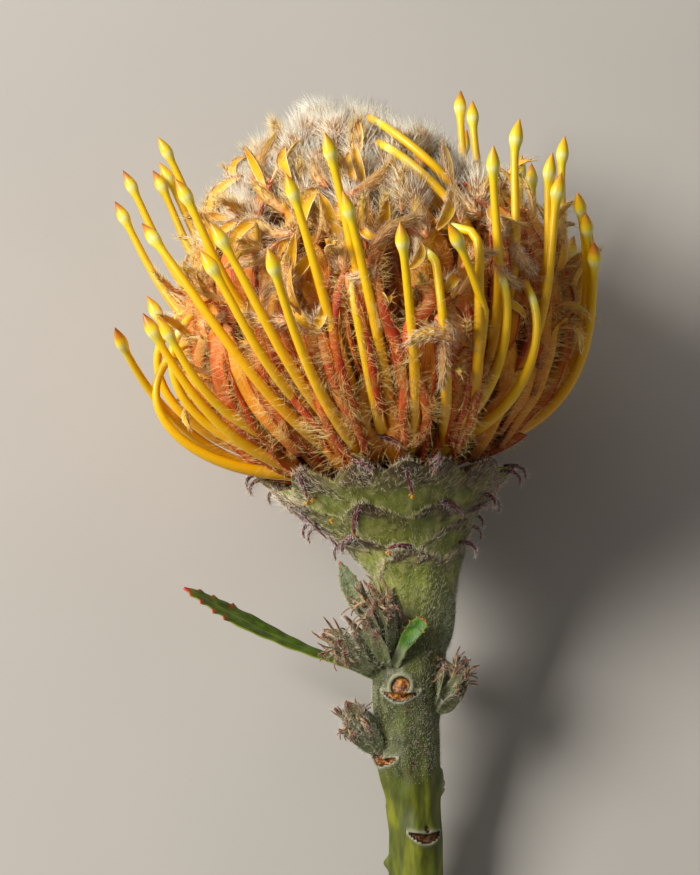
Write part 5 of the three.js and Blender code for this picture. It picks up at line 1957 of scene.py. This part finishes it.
    def _pollen(self, rng: Rng) -> None:
        """Clumps of pollen grains where styles have brushed the bracts.

        Args:
            rng: for the draws.
        """
        turns = np.linspace(0, 2 * math.pi, 6, endpoint=False)
        level = np.linspace(-0.98, 0.98, 5)[:, None]
        wide = np.sqrt(1 - level**2)
        ball = np.stack(np.broadcast_arrays(wide * np.cos(turns), wide * np.sin(turns), level), axis=-1)
        mould = Mould()
        for x, z, clear in POLLEN_SPOTS:
            middle = stem_point(*self._seen(np.array([x]), np.array([z]), clear - 0.1))
            centres = middle + rng.normal(0, 0.28, (9, 3))
            size = rng.uniform(0.12, 0.26, 9)[:, None, None, None]
            mould.shells(centres[:, None, None] + size * ball)
        mould.cast("pollen_grains", POLLEN, "stem", "stem")


# ---- leaves
@dataclass
class Leaf:
    """One leaf along its midrib, with teeth near its tip and a coat of hairs if it is a young one."""

    name: str
    midrib: tuple
    widths: tuple  # share of the length and half-width there
    face: tuple[float, float, float]
    finish: Finish
    teeth: tuple = ()  # share of the length, and 1 for one margin or -1 for the other
    tooth: float = 1.0
    trough: float = 0.35
    rows: int = 120
    thick: float = 0.6
    hairs: int = 0
    slot: str = "leaf"
    # over the columns from one margin to the other, for a tooth on the last one
    tooth_bump: tuple = (0, 0, 0, 0, 0, 0, 0.3, 0.6, 1)
    tooth_red: tuple = (0, 0, 0, 0, 0, 0, 0.2, 0.6, 1)

    def build(self) -> None:
        """Casts the leaf: its midrib as a smooth curve, its widths along it, and a bump for each tooth."""
        share = np.linspace(0, 1, self.rows)
        centres = smooth_curve(self.midrib, share)[None]
        half = table(self.widths, share)
        red, bump = np.zeros((2, self.rows, len(self.tooth_bump)))
        for place, side in self.teeth:
            gap = share - place
            reach = np.clip(1 - np.abs(gap) / np.where(gap > 0, 0.008, 0.03), 0, 1)
            near = min(self.tooth, 1.0) * np.exp(-((gap / 0.01) ** 2))
            bump += np.outer(reach, self.tooth_bump[::side]) * side
            red = np.maximum(red, np.outer(near, self.tooth_red[::side]))
        red = np.maximum(red, rise(share, 0.955, 0.985)[:, None])
        red, bump = (np.concatenate([face, face[:, ::-1]], axis=1) for face in (red, bump))
        towards = np.cross(np.gradient(centres, axis=1), self.face)
        blades = Blades(centres, towards, half[None], self.trough, self.thick, columns=9)
        sideways, _ = frames(centres, towards)
        jut = self.tooth * (0.45 + 0.16 * half[:, None]) * bump
        grid = blades.grid() + sideways[:, :, None] * jut[..., None]
        grid[..., 2] += 0.12 * ripple(grid, 5.0, 17)
        mould = Mould("red")
        blades.add_to(mould, grid, red=red)
        mould.cast(self.name, self.finish, self.slot, self.name)
        if self.hairs:
            for_place, for_way, for_length = (np.random.default_rng(seed) for seed in (61, 62, 63))
            place, normal, along = scatter(grid, self.hairs, for_place, (0.02, 0.98), (0.0, 1.0))
            way = unit(0.5 * normal + 0.6 * along + for_way.normal(0, 0.4, normal.shape))
            wool = Mould()
            wool.hairs(place, way, for_length.uniform(0.4, 1.3, self.hairs), 0.035)
            wool.cast(f"{self.name}_wool", SHOOT_WOOL, self.slot, self.name)


LEAVES = (
    Leaf(
        "leaf_long",
        ((-3.2, 1.2, -41.8), (-12, 1.6, -38.2), (-21, 2.2, -34.8), (-32, 2, -29.6), (-44, 1, -22.6)),
        ((0, 1.3), (0.2, 1.5), (0.45, 2.8), (0.66, 3.9), (0.8, 3.4), (0.92, 2.0), (1, 0.3)),
        (0.4, -0.36, 0.84), LeafSkin(),
        ((0.96, -1), (0.93, 1), (0.9, -1), (0.86, 1), (0.83, -1), (0.76, 1), (0.77, -1)), 1.25, 0.22, 220,
    ),
    Leaf(
        "leaf_grey",
        ((-3.4, -4.2, -30.4), (-7.6, -5.8, -24.4), (-11.2, -5.2, -16.8)),
        ((0, 1.1), (0.4, 2.1), (0.72, 1.9), (1, 0.25)),
        (-0.12, -0.98, -0.12), LeafSkin("leaf_grey_skin", 0.6, GREY_TONES),
        ((0.9, 1), (0.84, -1), (0.74, 1), (0.66, -1), (0.58, 1)), 0.45, hairs=900,
    ),
    Leaf(
        "leaf_front",
        ((0.2, -7.0, -38.2), (1.8, -9.6, -34.4), (3.8, -10.6, -31.2), (6.4, -10.4, -28.4)),
        ((0, 1.2), (0.4, 1.15), (0.6, 1.7), (0.82, 1.9), (0.94, 1.5), (1, 0.6)),
        (0.1, -0.9, 0.4), LeafSkin("leaf_front_skin", tones=("#1f4a0a", "#3c7a14", "#6aa028"), stalk=0.5),
        ((0.95, 1), (0.95, -1), (0.84, 1), (0.82, -1), (0.7, -1)), 0.8, 0.7, hairs=260,
    ),
    Leaf(
        "scale_right",
        ((8.0, -3.8, -38.6), (10.8, -4.4, -32), (11.6, -4.4, -26), (10.4, -4.0, -19.6)),
        ((0, 1.4), (0.3, 2.4), (0.7, 2.1), (1, 0.4)),
        (0.55, -0.85, 0), LeafSkin("scale_skin", 0.6, GREY_TONES),
        trough=-0.7, thick=1.0, hairs=1500, slot="shoot",
    ),
)


# ---- side shoots
@dataclass
class Shoot:
    """A side shoot: broad woolly leaflets round a short axis, with a tuft of curly tips at its end."""

    name: str
    base: tuple[float, float, float]
    tip: tuple[float, float, float]
    count: int
    spread: float
    seed: int

    def build(self) -> None:
        """Casts the leaflets, the curly tips and the wool."""
        rng = np.random.default_rng(self.seed)
        start = np.array(self.base)
        reach = float(np.linalg.norm(self.tip - start))
        axis = unit(self.tip - start)
        i = np.arange(self.count)
        share = (i / self.count)[:, None]
        away = self._round(axis, i * 2.4 + rng.normal(0, 0.2, self.count))
        foot = start + axis * reach * (0.42 - 0.4 * share) + away * (0.8 + 0.5 * share)
        way = unit(axis + away * (0.12 + 0.42 * share) * self.spread / 3.6)
        length = reach * rng.uniform(0.52, 0.7, self.count)
        leaflets = curled_boats(
            foot, way, np.cross(way, away), length, rng.uniform(1.4, 2.0, self.count),
            rng.uniform(-0.75, 0.25, self.count), 1.0, rows=16, thick=0.5,
        )
        many, each = 3 * self.count, (3 * self.count, 1)
        off = self._round(axis, rng.uniform(0, 2 * math.pi, many))
        root = start + axis * reach * rng.uniform(0.55, 0.8, each) + off * rng.uniform(0.2, 1.8, each)
        course = unit(axis * 0.8 + off * rng.uniform(0.2, 1.1, each) + rng.normal(0, 0.2, (many, 3)))
        tips = curled_boats(
            root, course, np.cross(course, off), rng.uniform(0.24, 0.42, many) * reach,
            rng.uniform(0.22, 0.4, many), rng.normal(0.9, 1.9, many), 0.9, rows=14,
        )
        mould, wool = Mould("back", "tip"), Mould()
        for blades, mark, hairs, longest in ((leaflets, 0.0, 190, 1.7), (tips, 1.0, 70, 1.0)):
            grid, count = blades.grid(), hairs * self.count
            blades.add_to(mould, grid, tip=mark)
            wool.fleece(rng, grid, count, (0.02, 1.0), (0.0, 1.0), (0.6, 0.7, 0, 0.4), (0.5, longest), 0.036)
        mould.cast(self.name, SHOOT_SKIN, "shoot", self.name)
        wool.cast(f"{self.name}_wool", SHOOT_WOOL, "shoot", self.name)

    @staticmethod
    def _round(axis: Array, angle: Array) -> Array:
        """Directions square to an axis at the given angles round it."""
        side = unit(np.cross(axis, np.array([0.2, 1.0, 0.1])))
        return np.cos(angle)[:, None] * side + np.sin(angle)[:, None] * np.cross(axis, side)


SHOOTS = (
    Shoot("shoot_upper", (-0.6, -5.6, -38.5), (-4.6, -10.0, -21.5), 20, 3.8, 51),
    Shoot("shoot_left", (-2.2, -4.6, -40), (-14.0, -6.8, -31.4), 16, 3.2, 52),
    Shoot("shoot_lower", (-2.0, -3.4, -57.4), (-9.8, -5.4, -46.8), 15, 3.0, 53),
    Shoot("shoot_right", (8.8, -3.2, -48.6), (15.2, -4.4, -37.4), 15, 2.8, 54),
    Shoot("shoot_far", (2.8, 6.2, -45.8), (0.4, 12, -33.5), 14, 2.9, 55),
)


# ---- table, lights and camera
@dataclass
class Studio:
    """A pale table, soft lights and a camera that looks down on the bloom at the photograph's angle."""

    lens: float = 100.0
    table_half: float = 4.0
    quads: int = 8
    room_light: float = 0.14
    aim: tuple[float, float, float] = (-3.0, 0.0, 20.0)
    # name, upright place in millimetres, size in metres, power in watts, colour
    lights: tuple = (
        ("key", (-800, -660, 380), 0.5, 16.5, (1.0, 0.97, 0.92)),
        ("fill", (420, -420, 60), 0.8, 0.24, (1.0, 0.98, 0.96)),
        ("rim", (-500, -200, 840), 0.6, 1.7, (1.0, 0.98, 0.95)),
    )

    def build(self) -> None:
        """Sets up the table, the lights and the camera."""
        self._table()
        for name, place, size, power, colour in self.lights:
            lamp = bpy.data.lights.new(name, "AREA")
            lamp.size, lamp.energy, lamp.color = size, power, colour
            self._set_up(name, lamp, np.array(place, dtype=float), np.array(self.aim))
        world = bpy.data.worlds.new("room")
        world.use_nodes = True
        background = world.node_tree.nodes["Background"]
        background.inputs["Color"].default_value = (1.0, 0.98, 0.95, 1.0)
        background.inputs["Strength"].default_value = self.room_light
        bpy.context.scene.world = world
        bpy.context.scene.view_settings.view_transform = "Standard"
        data = bpy.data.cameras.new("camera")
        data.lens, data.sensor_width = self.lens, 36.0
        data.clip_start, data.clip_end = 0.01, 20.0
        eye = np.array([VIEW_CENTRE[0], -VIEW_DISTANCE, VIEW_CENTRE[1]])
        bpy.context.scene.camera = self._set_up("camera", data, eye, eye * (1, 0, 1))

    def _table(self) -> None:
        """The table: a flat square sheet of quads under the bloom."""
        steps = np.linspace(-self.table_half, self.table_half, self.quads + 1)
        x, y = np.meshgrid(steps, steps, indexing="ij")
        points = np.stack([x, y, np.zeros_like(x)], axis=-1).reshape(-1, 3)
        ids = np.arange(x.size).reshape(x.shape)
        quads = np.stack([ids[:-1, :-1], ids[1:, :-1], ids[1:, 1:], ids[:-1, 1:]], axis=-1).reshape(-1, 4)
        mesh = bpy.data.meshes.new("table_top")
        mesh.from_pydata(points.tolist(), [], quads.tolist())
        mesh.materials.append(PALE_TABLE.material())
        top = bpy.data.objects.new("table_top", mesh)
        bpy.context.scene.collection.objects.link(top)

    @staticmethod
    def _set_up(name: str, data: bpy.types.ID, place: Array, target: Array) -> bpy.types.Object:
        """Stands a light or a camera at one upright place and turns it to another, with the stem upright.

        Args:
            name: the object's name.
            data: the light or camera.
            place: where it stands, in upright millimetres.
            target: what it looks at.

        Returns:
            The object.
        """
        eye = lay_down(place)
        back = unit(eye - lay_down(target))
        right = unit(np.cross([0.0, math.cos(REST_TILT), math.sin(REST_TILT)], back))
        rows = np.stack([right, np.cross(back, right), back, eye], axis=1)
        body = bpy.data.objects.new(name, data)
        body.matrix_world = Matrix([*rows.tolist(), [0.0, 0.0, 0.0, 1.0]])
        bpy.context.scene.collection.objects.link(body)
        return body


def main() -> None:
    """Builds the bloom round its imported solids, and writes how large it came out."""
    logging.basicConfig(level=logging.INFO, format="%(message)s")
    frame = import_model()
    log.info("solids: %s", ", ".join(sorted(frame["nodes"])))
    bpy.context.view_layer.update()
    form = HeadForm()
    layout = StyleSet(form)
    lanes = layout.lanes()
    bloom = (Styles(layout), OpenFlorets(layout, form, lanes), Crown(form, lanes), Stem(), *LEAVES, *SHOOTS)
    for part in (*bloom, Studio()):
        part.build()


if __name__ == "__main__":
    main()
